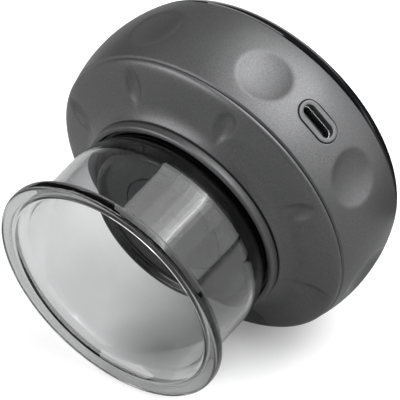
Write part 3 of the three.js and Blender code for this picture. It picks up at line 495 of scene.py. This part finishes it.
def obround(length, width, height):
    """A flat face with round ends at a height, drawn in a new bmesh."""
    bm = bmesh.new()
    bmesh.ops.create_circle(bm, cap_ends=True, radius=width / 2, segments=END_STEPS)
    reach = (length - width) / 2
    for point in bm.verts:
        point.co.x += math.copysign(reach, point.co.x) if abs(point.co.x) > 1e-6 else 0
        point.co.z = height
    return bm


def obround_plug(rings):
    """A solid whose sections are obrounds: rings of (length, width, height), from the lowest up."""
    bm = obround(*rings[0])
    low = next(iter(bm.faces))
    bmesh.ops.reverse_faces(bm, faces=[low])
    loop = list(low.edges)
    for length, width, height in rings[1:]:
        swept = bmesh.ops.extrude_edge_only(bm, edges=loop)
        points = [part for part in swept["geom"] if isinstance(part, bmesh.types.BMVert)]
        last_length, last_width = max(p.co.x for p in points) * 2, max(p.co.y for p in points) * 2
        reach = (last_length - last_width) / 2
        for point in points:
            middle = max(-reach, min(reach, point.co.x))
            point.co.x = (point.co.x - middle) * width / last_width + middle * (length - width) / (2 * reach)
            point.co.y *= width / last_width
            point.co.z = height
        loop = [part for part in swept["geom"] if isinstance(part, bmesh.types.BMEdge)]
    bmesh.ops.contextual_create(bm, geom=loop)
    bmesh.ops.recalc_face_normals(bm, faces=bm.faces[:])
    bmesh.ops.triangulate(bm, faces=[face for face in bm.faces if len(face.verts) > 4])
    return bm


def follow_case(bm):
    """Bends a shape drawn on a flat so that it follows the bulge of the case."""
    for point in bm.verts:
        point.co.z -= point.co.x ** 2 / (2 * CASE_RADIUS) + point.co.y ** 2 / (2 * SIDE_ARC)


def pocket_mouth():
    """The flared top of the pocket, drawn as rings from the lowest up and then bent to the case."""
    bm = obround_plug([(10.6, 5.9, -0.32), (10.64, 5.94, -0.2), (10.76, 6.06, -0.1), (11.02, 6.32, 0.0),
                       (11.6, 6.9, 0.12), (11.8, 7.1, 1.2)])
    follow_case(bm)
    bm.transform(outward(PORT_ANGLE, PORT_HEIGHT) @ Matrix.Translation((0, 0, CASE_RADIUS)))
    return bm


def well(length, width, low, high):
    """A straight hole with round ends under the port, between two distances from the device axis."""
    bm = obround_plug([(length, width, low), (length, width, high)])
    bm.transform(outward(PORT_ANGLE, PORT_HEIGHT))
    return bm


pocket = well(10.6, 5.9, 36.4, 37.9)
socket_hole = well(9.54, 3.76, 33.0, 36.9)
housing = carve(upper_shell(), [pocket_mouth(), pocket, socket_hole])
put(housing, "upper_shell", "main", SPRAYED, ["main_housing"])

# %% [markdown]
# The lower shell closes the case towards the cup: a rounded shoulder, a flat cone with one oval
# scoop under each dimple, and a soft turn down into the neck.

# %% The lower shell
CONE_FOOT = (26.4, -4.95)
CONE_CUTS = 34
SHOULDER_STEPS = 12
SCOOP_CENTRE = 31.6  # from the device axis
SCOOP_HALF_WIDTH = 2.4
SCOOP_HALF_LENGTH = 4.4
SCOOP_DEPTH = 0.95


def lower_shell():
    lip, lip_in = side_radius(HALF_SEAM, CASE_WALL) - 0.3, side_radius(HALF_SEAM, CASE_WALL) - 1.8
    rim = side_radius(-HALF_SEAM)
    corner = Vector((rim - 0.15, -1.55))
    along_cone = corner - Vector(CONE_FOOT)
    slope = math.degrees(math.atan2(along_cone.y, along_cone.x))
    above = Vector((rim - 0.02, -0.5))
    below = corner - 3.2 * along_cone.normalized()
    steps = [k / SHOULDER_STEPS for k in range(SHOULDER_STEPS + 1)]
    shoulder = [above.lerp(corner, step).lerp(corner.lerp(below, step), step) for step in steps]
    bm = draw([
        (lip, -HALF_SEAM),
        (rim - 0.7, -HALF_SEAM),
        (rim - 0.02, -HALF_SEAM, 0.2),
        *[tuple(point) for point in shoulder],
        (*CONE_FOOT, 1.9),
        (25.1, -6.7, 0.2),
        (24.1, -6.7),
        (24.1, -2.7),
        (27.5, -2.7),
        (lip_in, -1),
        (lip_in, 2),
        (lip, 2),
    ])
    outside = [edge for edge in bm.edges if min(end.co.x for end in edge.verts) > CONE_FOOT[0] + 1
               and min(end.co.z for end in edge.verts) < -3]
    cone = max(outside, key=lambda edge: edge.calc_length())
    bmesh.ops.subdivide_edges(bm, edges=[cone], cuts=CONE_CUTS)
    height = corner.y - (corner.x - SCOOP_CENTRE) * math.tan(math.radians(slope))
    facing = (outward(FIRST_DIMPLE) @ Matrix.Translation((0, height, SCOOP_CENTRE))
              @ Matrix.Rotation(math.radians(90 - slope), 4, "X"))
    return turn_sectors(bm, FIRST_DIMPLE, DIMPLES, SECTOR_STEPS, lambda sector: press(
        sector, facing, SCOOP_HALF_WIDTH, SCOOP_HALF_LENGTH, SCOOP_DEPTH, 0, RIM_SOFTNESS))


put(lower_shell(), "lower_shell", "main", SPRAYED, ["lower_cover"])

# %% [markdown]
# A rounded trim ring covers the joint between the neck and the seal. It is turned in one go.

# %% The neck ring
put(turn(draw([
    (22.9, -2.7),
    (23.8, -2.7),
    (23.8, -7.0),
    (24.9, -7.0, 0.35),
    (24.9, -9.0, 0.6),
    (23.7, -9.0, 0.2),
    (23.7, -7.3),
    (22.9, -6.5),
])), "neck_trim", "main", SPRAYED, ["neck_ring"])

# %% [markdown]
# The seal is black silicone: matt, with a cloudy bloom. Its inside follows the cup's shoulder, which
# is one round arc, 0.3 mm away from it.

# %% The seal and its rubber
SHOULDER_CENTRE = (5.6, -17.5)
SHOULDER_ARC = 19.3


def black_silicone():
    material, tree, shader, place = finish("black silicone", (0.012, 0.012, 0.013), 0.55,
                                           Specular_IOR_Level=0.45)
    grain = use(tree, GRAIN, Place=place, Size=0.12)
    cloud = use(tree, CLOUD, Place=place, Size=6.0)
    tint(tree, shader, (0.01, 0.01, 0.011), (0.035, 0.035, 0.036), cloud.outputs["Value"])
    vary(tree, shader, grain.outputs["Speckle"], 0.5, 0.66)
    relief(tree, shader, grain.outputs["Speckle"], 0.25, 0.00003)
    return material


SILICONE = black_silicone()


def shoulder_radius(height):
    """The radius of the cup's shoulder at a height."""
    return SHOULDER_CENTRE[0] + math.sqrt(SHOULDER_ARC ** 2 - (height - SHOULDER_CENTRE[1]) ** 2)


put(turn(draw([
    (20.05, -3.0),
    (22.6, -3.0),
    (22.6, -6.5),
    (23.4, -7.3),
    (23.4, -8.3, 0.2),
    (shoulder_radius(-8.3) + 0.3, -8.3),
    (shoulder_radius(-7.3) + 0.3, -7.3),
    (21.85, -6.5),
    (21.85, -3.5),
    (20.05, -3.5),
])), "silicone_seal", "main", SILICONE, ["cup_seal"])

# %% [markdown]
# The cup is one thick turned wall of smoke-tinted plastic. It has to be a closed solid with an
# inner and an outer skin, because the light bends twice in it, and that makes the dark and light
# bands along its edge.

# %% The clear cup
SMOKE_DENSITY = 220.0
CUP_WALL = 1.5


def smoky_clear():
    material, tree, shader, place = finish("smoky clear", (0.95, 0.95, 0.95), 0.03,
                                           IOR=1.49, Transmission_Weight=1.0)
    cloud = use(tree, CLOUD, Place=place, Size=7.0)
    tint(tree, shader, (0.83, 0.835, 0.84), (0.865, 0.87, 0.875), cloud.outputs["Value"])
    vary(tree, shader, cloud.outputs["Value"], 0.02, 0.045)
    relief(tree, shader, cloud.outputs["Value"], 0.04, 0.00005)
    smoke = add(tree, "ShaderNodeVolumeAbsorption", {"Color": (0.0, 0.0, 0.0, 1), "Density": SMOKE_DENSITY})
    out = next(node for node in tree.nodes if node.type == "OUTPUT_MATERIAL")
    tree.links.new(smoke.outputs[0], out.inputs["Volume"])
    return material


SMOKY = smoky_clear()


def suction_cup():
    neck = 21.55
    sweep = math.degrees(math.acos((neck - SHOULDER_CENTRE[0]) / SHOULDER_ARC))
    return turn(draw([
        (neck - CUP_WALL, -3.8, 0.25),
        (neck, -3.8, 0.25),
        arc_start(*SHOULDER_CENTRE, SHOULDER_ARC, sweep),
        ("arc", *SHOULDER_CENTRE, -sweep, 40),
        (24.9, -31.7, 1.6),
        (28.7, -31.7, 0.8),
        (28.7, -34.3, 0.8),
        (26.1, -34.3, 0.15),
        (26.1, -33.7, 0.15),
        (25.1, -33.7, 0.2),
        (23.4, -31.7, 1.2),
        arc_start(*SHOULDER_CENTRE, SHOULDER_ARC - CUP_WALL, 0),
        ("arc", *SHOULDER_CENTRE, sweep, 40),
    ]), GLOSSY_STEPS)


put(suction_cup(), "clear_cup", "cup", SMOKY, ["suction_cup"])

# %% [markdown]
# Inside the cup a black plinth closes the chamber. It is moulded in a shiny black plastic. A raised
# rim runs round its face, which holds a heated plate and a small air intake.

# %% The chamber floor, heat plate and intake
def plinth_black():
    material, tree, shader, place = finish("plinth black", (0.008, 0.008, 0.009), 0.12, Specular_IOR_Level=0.5)
    cloud = use(tree, CLOUD, Place=place, Size=8.0)
    grain = use(tree, GRAIN, Place=place, Size=0.5)
    tint(tree, shader, (0.006, 0.006, 0.0065), (0.014, 0.014, 0.015), cloud.outputs["Value"])
    vary(tree, shader, cloud.outputs["Value"], 0.16, 0.26)
    relief(tree, shader, grain.outputs["Speckle"], 0.12, 0.00002)
    return material


PLINTH_BLACK = plinth_black()


def plate_metal():
    material, tree, shader, place = finish("anodised plate", (0.02, 0.02, 0.022), 0.3, Metallic=0.6)
    grain = use(tree, GRAIN, Place=place, Size=0.15)
    cloud = use(tree, CLOUD, Place=place, Size=5.0)
    tint(tree, shader, (0.016, 0.016, 0.018), (0.04, 0.04, 0.043), grain.outputs["Speckle"])
    vary(tree, shader, cloud.outputs["Value"], 0.26, 0.36)
    relief(tree, shader, grain.outputs["Speckle"], 0.3, 0.00002)
    return material


ANODISED = plate_metal()

put(turn(draw([
    (12.5, -11.6, 0.15),
    (17.9, -11.6, 0.5),
    (18.5, -13.0, 0.3),
    (19.75, -13.0, 0.6),
    (19.75, -2.4),
    (25.6, -2.4),
    (25.6, -0.6),
    (17.85, -0.6),
    (17.85, -8.4),
    (16.25, -8.4),
    (16.25, -9.2),
    (11.0, -9.2),
    (11.0, -10.3),
    (12.5, -10.3),
])), "chamber_plinth", "main", PLINTH_BLACK, ["chamber_floor"])
put(turn(draw([
    (1.6, -11.6, 0.1),
    (12.2, -11.6, 0.2),
    (12.2, -10.6),
    (1.6, -10.6),
])), "warm_plate", "main", ANODISED, ["heat_plate"])
put(turn(draw([
    (0.7, -12.5, 0.1),
    (3.1, -12.5, 0.25),
    (3.1, -11.9, 0.1),
    (1.3, -11.9),
    (1.3, -3.6),
    (0.7, -3.6),
]), SMALL_STEPS), "intake_cap", "main", PLINTH_BLACK, ["filter_cap"])

# %% [markdown]
# The display end is one domed lens of black gloss. Its edge runs on from the bulge of the case and
# turns over into a nearly flat crown. The three buttons come through round holes in it.

# %% The display panel
def black_gloss():
    material, tree, shader, place = finish("black gloss", (0.004, 0.004, 0.0045), 0.06, Specular_IOR_Level=0.5)
    cloud = use(tree, CLOUD, Place=place, Size=10.0)
    grain = use(tree, GRAIN, Place=place, Size=1.6)
    tint(tree, shader, (0.003, 0.003, 0.0034), (0.006, 0.006, 0.0068), cloud.outputs["Value"])
    vary(tree, shader, cloud.outputs["Value"], 0.04, 0.1)
    relief(tree, shader, grain.outputs["Speckle"], 0.03, 0.00002)
    return material


GLOSS = black_gloss()
PANEL_FOOT = CASE_TOP + 0.3
PANEL_WALL = 2
EDGE_ARC = 7.5
EDGE_START = side_angle(PANEL_FOOT)
EDGE_CENTRE = (side_radius(PANEL_FOOT) - EDGE_ARC * math.cos(math.radians(EDGE_START)),
               PANEL_FOOT - EDGE_ARC * math.sin(math.radians(EDGE_START)))
CROWN_SWEEP = 10
CROWN_JOIN = arc_start(*EDGE_CENTRE, EDGE_ARC, 90 - CROWN_SWEEP)
CROWN_ARC = CROWN_JOIN[0] / math.sin(math.radians(CROWN_SWEEP))
CROWN_CENTRE = CROWN_JOIN[1] - CROWN_ARC * math.cos(math.radians(CROWN_SWEEP))
SPIGOT = side_radius(CASE_TOP, CASE_WALL) - 0.3
SPIGOT_FOOT = 18.8
BUTTONS = {"power_button": 150, "level_button": 90, "heat_button": 30}
BUTTON_RING = 14  # from the device axis to the middle of a button


def on_crown(radius, inset=0.0):
    """The height of the crown, or of its underside at an inset, at a distance from the axis."""
    return CROWN_CENTRE + math.sqrt((CROWN_ARC - inset) ** 2 - radius ** 2)


def display_lens():
    inside = SPIGOT - 1.6
    inner = math.degrees(math.acos((inside - EDGE_CENTRE[0]) / (EDGE_ARC - PANEL_WALL)))
    return turn(draw([
        (0, on_crown(0, PANEL_WALL)),
        ("arc", 0, CROWN_CENTRE, -CROWN_SWEEP, 12),
        arc_start(*EDGE_CENTRE, EDGE_ARC - PANEL_WALL, inner),
        (inside, SPIGOT_FOOT),
        (SPIGOT, SPIGOT_FOOT),
        (SPIGOT, PANEL_FOOT),
        (side_radius(PANEL_FOOT) - 0.3, PANEL_FOOT),
        arc_start(*EDGE_CENTRE, EDGE_ARC, EDGE_START + 2),
        ("arc", *EDGE_CENTRE, 90 - CROWN_SWEEP - 2 - EDGE_START, 28),
        ("arc", 0, CROWN_CENTRE, CROWN_SWEEP, 24),
    ], closed=False), GLOSSY_STEPS)


def to_button(bm, angle):
    """Moves a shape turned on the device axis to the place of a button."""
    bmesh.ops.translate(bm, verts=bm.verts[:], vec=(BUTTON_RING * math.cos(math.radians(angle)),
                                                    BUTTON_RING * math.sin(math.radians(angle)), 0))
    return bm


def button_hole(angle):
    crown = on_crown(BUTTON_RING)
    return to_button(turn(draw([
        (0, 24),
        (4.8, 24),
        (4.8, crown - 0.22),
        (4.86, crown - 0.1),
        (5.06, crown + 0.02),
        (6.2, crown + 0.6),
        (0, crown + 0.6),
    ], closed=False), SMALL_STEPS), angle)


lens = carve(display_lens(), [button_hole(angle) for angle in BUTTONS.values()])
put(lens, "display_lens", "main", GLOSS, ["display_panel"])

# %% [markdown]
# A push button is a small turned cap with a dished top, a flange that keeps it under the panel and
# a stem that reaches down to its switch.

# %% The push buttons
BUTTON_RADIUS = 4.5
FLANGE_RADIUS = 5.8
STEM_RADIUS = 1.6
BUTTON_TOP = on_crown(BUTTON_RING) + 0.5
FLANGE_TOP = on_crown(BUTTON_RING + FLANGE_RADIUS, PANEL_WALL) - 0.3
FLANGE_FOOT = FLANGE_TOP - 0.9
BOARD_TOP = 20  # of the board that the switches stand on
SWITCH_TOP = (FLANGE_FOOT + BOARD_TOP) / 2
STEM_FOOT = SWITCH_TOP + 1.2  # clear of the switch's own plunger


def button_cap():
    return turn(draw([
        (0, STEM_FOOT),
        (STEM_RADIUS, STEM_FOOT, 0.15),
        (STEM_RADIUS, FLANGE_FOOT),
        (FLANGE_RADIUS, FLANGE_FOOT),
        (FLANGE_RADIUS, FLANGE_TOP),
        (BUTTON_RADIUS, FLANGE_TOP),
        (BUTTON_RADIUS, BUTTON_TOP, 0.35),
        (3.6, BUTTON_TOP, 0.3),
        (2.4, BUTTON_TOP - 0.22, 0.8),
        (0, BUTTON_TOP - 0.25),
    ], closed=False), SMALL_STEPS)


for (name, angle), body in zip(BUTTONS.items(), ["power_key", "level_key", "heat_key"]):
    put(to_button(button_cap(), angle), name + "_cap", body, GLOSS, [name])

# %% [markdown]
# The charging socket is what gives the object its scale: a land with round ends, a thin metal
# shell and a flat tongue inside it. Thin closed rings are made by bridging loops two by two.

# %% The charging socket
def obround_ring(outer, inner, low, high, round_outer, round_inner):
    """A ring with round ends between an outer and an inner (length, width), from low to high. Its two
    upper edges are rounded by the last two sizes."""
    bm = bmesh.new()
    loops = []
    for length, width in (outer, inner):
        for height in (low, high):
            drawn = obround(length, width, height)
            mesh = bpy.data.meshes.new("ring")
            drawn.to_mesh(mesh)
            drawn.free()
            before = set(bm.edges)
            bm.from_mesh(mesh)
            bpy.data.meshes.remove(mesh)
            loops.append([edge for edge in bm.edges if edge not in before])
    bmesh.ops.delete(bm, geom=bm.faces[:], context="FACES_ONLY")
    outer_low, outer_high, inner_low, inner_high = loops
    for first, second in ((outer_low, outer_high), (outer_high, inner_high), (inner_high, inner_low),
                          (inner_low, outer_low)):
        bmesh.ops.bridge_loops(bm, edges=first + second)
    bmesh.ops.recalc_face_normals(bm, faces=bm.faces[:])
    for loop, size in ((outer_high, round_outer), (inner_high, round_inner)):
        bmesh.ops.bevel(bm, geom=loop, offset=size, segments=4, profile=0.5, affect="EDGES", material=-1)
    bm.transform(outward(PORT_ANGLE, PORT_HEIGHT))
    return bm


def bright_steel():
    material, tree, shader, place = finish("bright steel", (0.75, 0.75, 0.76), 0.25, Metallic=1.0)
    grain = use(tree, GRAIN, Place=place, Size=0.1)
    cloud = use(tree, CLOUD, Place=place, Size=2.5)
    tint(tree, shader, (0.68, 0.68, 0.685), (0.82, 0.82, 0.825), cloud.outputs["Value"])
    vary(tree, shader, grain.outputs["Speckle"], 0.18, 0.3)
    relief(tree, shader, grain.outputs["Speckle"], 0.2, 0.00001)
    return material


def tongue_black():
    material, tree, shader, place = finish("tongue black", (0.015, 0.015, 0.016), 0.4)
    grain = use(tree, GRAIN, Place=place, Size=0.15)
    tint(tree, shader, (0.012, 0.012, 0.013), (0.03, 0.03, 0.032), grain.outputs["Speckle"])
    vary(tree, shader, grain.outputs["Speckle"], 0.35, 0.5)
    relief(tree, shader, grain.outputs["Speckle"], 0.2, 0.00001)
    return material


STEEL = bright_steel()
TONGUE = tongue_black()

SOCKET_BACK, SOCKET_FRONT = 29.1, 36.4  # from the device axis
BACK_TOP = 30.5
TONGUE_TIP = 35.5

bezel = obround_ring((10.3, 5.6), (8.5, 3.2), 36.7, 37.9, 0.16, 0.14)
put(bezel, "port_bezel", "main", SPRAYED, ["usb_bezel"])
socket = obround_ring((8.94, 3.16), (8.34, 2.56), SOCKET_BACK, SOCKET_FRONT, 0.06, 0.1)
put(socket, "socket_shell", "main", STEEL, ["usb_shell"])


def socket_tongue():
    """A back that closes the shell, and the flat tongue that stands on it."""
    bm = obround_plug([(7.74, 1.96, SOCKET_BACK), (7.74, 1.96, BACK_TOP)])
    foot = BACK_TOP - 0.7
    blade = bmesh.ops.create_cube(bm, size=1)
    bmesh.ops.scale(bm, verts=blade["verts"], vec=(6.7, 0.7, TONGUE_TIP - foot))
    bmesh.ops.translate(bm, verts=blade["verts"], vec=(0, 0, (TONGUE_TIP + foot) / 2))
    edges = list({edge for vert in blade["verts"] for edge in vert.link_edges})
    bmesh.ops.bevel(bm, geom=edges, offset=0.12, segments=2, profile=0.5, affect="EDGES", material=-1)
    bm.transform(outward(PORT_ANGLE, PORT_HEIGHT))
    return bm


put(socket_tongue(), "socket_tongue", "main", TONGUE, ["usb_tongue"])

# %% [markdown]
# What stays hidden in the case keeps its CAD shape and gets a finish of its own: green boards,
# steel, foam, silicone tube, wrapped cell, leads and moulded plastics.

# %% Finishes of the hidden parts
def plain_finish(name, low, high, rough, grain_size=0.2):
    """A cloudy colour between low and high, with a grain that varies its roughness and its relief."""
    material, tree, shader, place = finish(name, low, rough[0])
    grain = use(tree, GRAIN, Place=place, Size=grain_size)
    cloud = use(tree, CLOUD, Place=place, Size=4.0)
    tint(tree, shader, low, high, cloud.outputs["Value"])
    vary(tree, shader, grain.outputs["Speckle"], *rough)
    relief(tree, shader, grain.outputs["Speckle"], 0.3, 0.00003)
    return material


INNER = {
    "board": plain_finish("board green", (0.008, 0.06, 0.03), (0.016, 0.1, 0.05), (0.3, 0.45)),
    "inner_plastic": plain_finish("inner plastic", (0.03, 0.031, 0.034), (0.05, 0.052, 0.056), (0.5, 0.65)),
    "black_plastic": plain_finish("switch black", (0.01, 0.01, 0.011), (0.025, 0.025, 0.027), (0.4, 0.55)),
    "steel": STEEL,
    "cell": plain_finish("cell wrap", (0.18, 0.26, 0.36), (0.24, 0.33, 0.43), (0.25, 0.35)),
    "foam": plain_finish("foam pad", (0.5, 0.48, 0.42), (0.66, 0.64, 0.58), (0.85, 0.95), 0.5),
    "tube": plain_finish("silicone tube", (0.6, 0.61, 0.62), (0.7, 0.71, 0.72), (0.4, 0.5)),
    "lead": plain_finish("lead red", (0.35, 0.01, 0.012), (0.5, 0.02, 0.02), (0.35, 0.5)),
    "lead_black": plain_finish("lead black", (0.01, 0.01, 0.01), (0.025, 0.025, 0.025), (0.35, 0.5)),
    "pom": plain_finish("white bearing plastic", (0.62, 0.6, 0.52), (0.74, 0.72, 0.64), (0.35, 0.45)),
}
HIDDEN = {
    "board": ["light_board", "display_board", "main_board"],
    "inner_plastic": ["chassis", "pump_head", "valve_body", "digit_display"],
    "black_plastic": ["tact_switch_1", "tact_switch_2", "tact_switch_3"],
    "steel": ["pressure_sensor", "pump_motor", "motor_shaft", "valve_plunger"]
    + [f"{kind}_screw_{i}" for kind in ("case", "board") for i in (1, 2, 3)],
    "cell": ["battery"],
    "foam": ["battery_pad"],
    "tube": ["intake_tube", "vent_tube"],
    "lead": ["battery_lead_plus"],
    "lead_black": ["battery_lead_minus"],
    "pom": ["pump_eccentric"],
}
for key, names in HIDDEN.items():
    for name in names:
        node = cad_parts[name]
        if not node.material_slots:
            node.data.materials.append(INNER[key])
        for holder in node.material_slots:
            holder.material = INNER[key]
print("hidden parts dressed:", sum(len(names) for names in HIDDEN.values()))

# %% [markdown]
# The floor is plain white and keeps the shadow. A little light of its own, which only the camera,
# glass and gloss can see, lifts it to white without putting more light on the object. The lift is
# weaker close to the foot of the case and under the cup, which paints a shadow there, where a real
# floor would be in shade. It is stronger far off, where a low view would otherwise end in a grey horizon.

# %% The floor
FLOOR_HEIGHT = -0.00015
# The middles of the two painted shadows on the floor: one where the case rests, one under the cup
CASE_SHADE = (0.003, 0.0125, FLOOR_HEIGHT)  # where the case rests
CUP_SHADE = (-0.001, -0.009, FLOOR_HEIGHT)  # the darkest place under the cup
FLOOR_IN_GLOSS = 0.42


def background_share(tree, gloss):
    """One for rays straight from the camera or through glass, and a set share for reflections."""
    path = add(tree, "ShaderNodeLightPath")
    seen = calculate(tree, "MAXIMUM", path.outputs["Is Camera Ray"], path.outputs["Is Transmission Ray"])
    dimmed = calculate(tree, "MULTIPLY", path.outputs["Is Glossy Ray"], gloss)
    return calculate(tree, "MAXIMUM", seen, dimmed)


def distance_from(tree, place, point):
    """How far a place on the object is from a fixed point, in metres."""
    return add(tree, "ShaderNodeVectorMath", {0: place, 1: point}, operation="DISTANCE").outputs["Value"]


def white_floor():
    material = bpy.data.materials.new("studio floor")
    material.use_nodes = True
    tree = material.node_tree
    tree.nodes.clear()
    seen = background_share(tree, FLOOR_IN_GLOSS)
    paper = add(tree, "ShaderNodeBsdfDiffuse", {"Color": ramp(tree, seen, 0.0, 1.0, 0.1, 0.5)})
    place = add(tree, "ShaderNodeTexCoord").outputs["Object"]
    from_case = distance_from(tree, place, CASE_SHADE)
    # Painted shadow: the lift is low near the foot of the case and under the cup, and grows away from them
    lift_and_painted_case_shadow = calculate(tree, "ADD", ramp(tree, from_case, 0.005, 0.03, 0.2, 0.72),
                           ramp(tree, from_case, 0.25, 0.8, 0.0, 0.3))
    painted_cup_shadow = ramp(tree, distance_from(tree, place, CUP_SHADE), 0.002, 0.017, 0.35, 1.0)
    lift = calculate(tree, "MULTIPLY", seen, calculate(tree, "MULTIPLY", lift_and_painted_case_shadow, painted_cup_shadow))
    glow = add(tree, "ShaderNodeEmission", {"Color": (1, 1, 1, 1), "Strength": lift})
    both = add(tree, "ShaderNodeAddShader", {0: paper.outputs[0], 1: glow.outputs[0]})
    add(tree, "ShaderNodeOutputMaterial", {"Surface": both.outputs[0]})
    return material


def flat_stage(name, low, high, height, material):
    """A level rectangle between two corners that is part of the studio, not of the object."""
    bm = bmesh.new()
    bmesh.ops.create_grid(bm, x_segments=1, y_segments=1, size=0.5)
    bmesh.ops.scale(bm, verts=bm.verts[:], vec=(high[0] - low[0], high[1] - low[1], 1))
    bmesh.ops.translate(bm, verts=bm.verts[:], vec=((low[0] + high[0]) / 2, (low[1] + high[1]) / 2, height))
    mesh = bpy.data.meshes.new(name)
    bm.to_mesh(mesh)
    bm.free()
    thing = bpy.data.objects.new(name, mesh)
    scene.collection.objects.link(thing)
    mesh.materials.append(material)
    return thing


flat_stage("studio_floor", (-4, -4), (4, 4), FLOOR_HEIGHT, white_floor())

# %% [markdown]
# Black gloss looks black only where it mirrors something black. A photographer lays a black card
# behind the object, out of the picture. This one is seen by reflections alone, so it takes no
# light away from the object and never shows itself.

# %% The black card
def card_black():
    material = bpy.data.materials.new("card black")
    material.use_nodes = True
    tree = material.node_tree
    tree.nodes.clear()
    paper = add(tree, "ShaderNodeBsdfDiffuse", {"Color": (0.01, 0.01, 0.01, 1)})
    add(tree, "ShaderNodeOutputMaterial", {"Surface": paper.outputs[0]})
    return material


card = flat_stage("black_card", (-0.085, 0.068), (0.12, 3.9), -0.0001, card_black())
card.visible_camera = card.visible_diffuse = card.visible_transmission = card.visible_shadow = False

# %% [markdown]
# Two soft panels stand round the object as in a light tent: one overhead and one on the right. They
# meet in a brighter line, which the wall of the cup mirrors. Each is a stack of lamps that share
# one edge and get narrower, so it brightens towards that edge. The lamps lie 2 mm apart, because a
# reflected ray sees only the first of two lamps in one plane. A third panel lights the cone from
# the front left, and the world fills in only a little.

# %% Light
TENT = Matrix.Rotation(math.radians(17), 4, "Z")
LAMP_GAP = 0.002
TOP_RIGHT, TOP_HEIGHT = 0.45, 0.535  # the bright edge of the overhead panel
TOP_LENGTH = 0.9
SIDE_PLACE, SIDE_HEIGHT = 0.5, 0.58  # the bright edge of the panel on the right
SIDE_LENGTH = 0.97
DOWN, LEFT = (0, 0, -1), (-1, 0, 0)


def softbox(name, centre, facing, width, height, glow):
    """A flat lamp in the tent that shines along a direction. glow is how bright its face is."""
    lamp = bpy.data.lights.new(name, "AREA")
    lamp.shape = "RECTANGLE"
    lamp.size, lamp.size_y = width, height
    lamp.energy = glow * math.pi * width * height
    thing = bpy.data.objects.new(name, lamp)
    turned = (-Vector(facing)).to_track_quat("Z", "Y").to_matrix().to_4x4()
    thing.matrix_world = TENT @ Matrix.Translation(centre) @ turned
    thing.visible_camera = False
    scene.collection.objects.link(thing)


# The size of each lamp across the shared edge, and its glow
top_lamps = [(0.49, 2.6), (0.34, 0.8), (0.22, 1.1), (0.13, 1.6), (0.07, 2.0), (0.03, 3.0)]
side_lamps = [(0.51, 1.5), (0.3, 0.4), (0.12, 1.0), (0.05, 2.4)]
for step, (size, glow) in enumerate(top_lamps):
    centre = (TOP_RIGHT - size / 2, 0.2, TOP_HEIGHT - LAMP_GAP * step)
    softbox(f"top_softbox_{step}", centre, DOWN, size, TOP_LENGTH, glow)
for step, (size, glow) in enumerate(side_lamps):
    centre = (SIDE_PLACE - LAMP_GAP * step, 0.13, SIDE_HEIGHT - size / 2)
    softbox(f"side_softbox_{step}", centre, LEFT, SIDE_LENGTH, size, glow)
softbox("front_softbox", (-0.5, -0.42, 0.42), (0.62, 0.52, -0.52), 0.7, 0.5, 4.4)

WORLD_FILL = 0.015
WORLD_IN_GLOSS = 0.03
world = bpy.data.worlds.new("studio")
scene.world = world
world.use_nodes = True
sky = world.node_tree
sky.nodes.clear()
level = ramp(sky, background_share(sky, WORLD_IN_GLOSS), 0.0, 1.0, WORLD_FILL, 1.0)
backdrop = add(sky, "ShaderNodeBackground", {"Color": (1, 1, 1, 1), "Strength": level})
add(sky, "ShaderNodeOutputWorld", {"Surface": backdrop.outputs[0]})
scene.view_settings.view_transform = "Standard"
print("lamps:", len(top_lamps) + len(side_lamps) + 1)
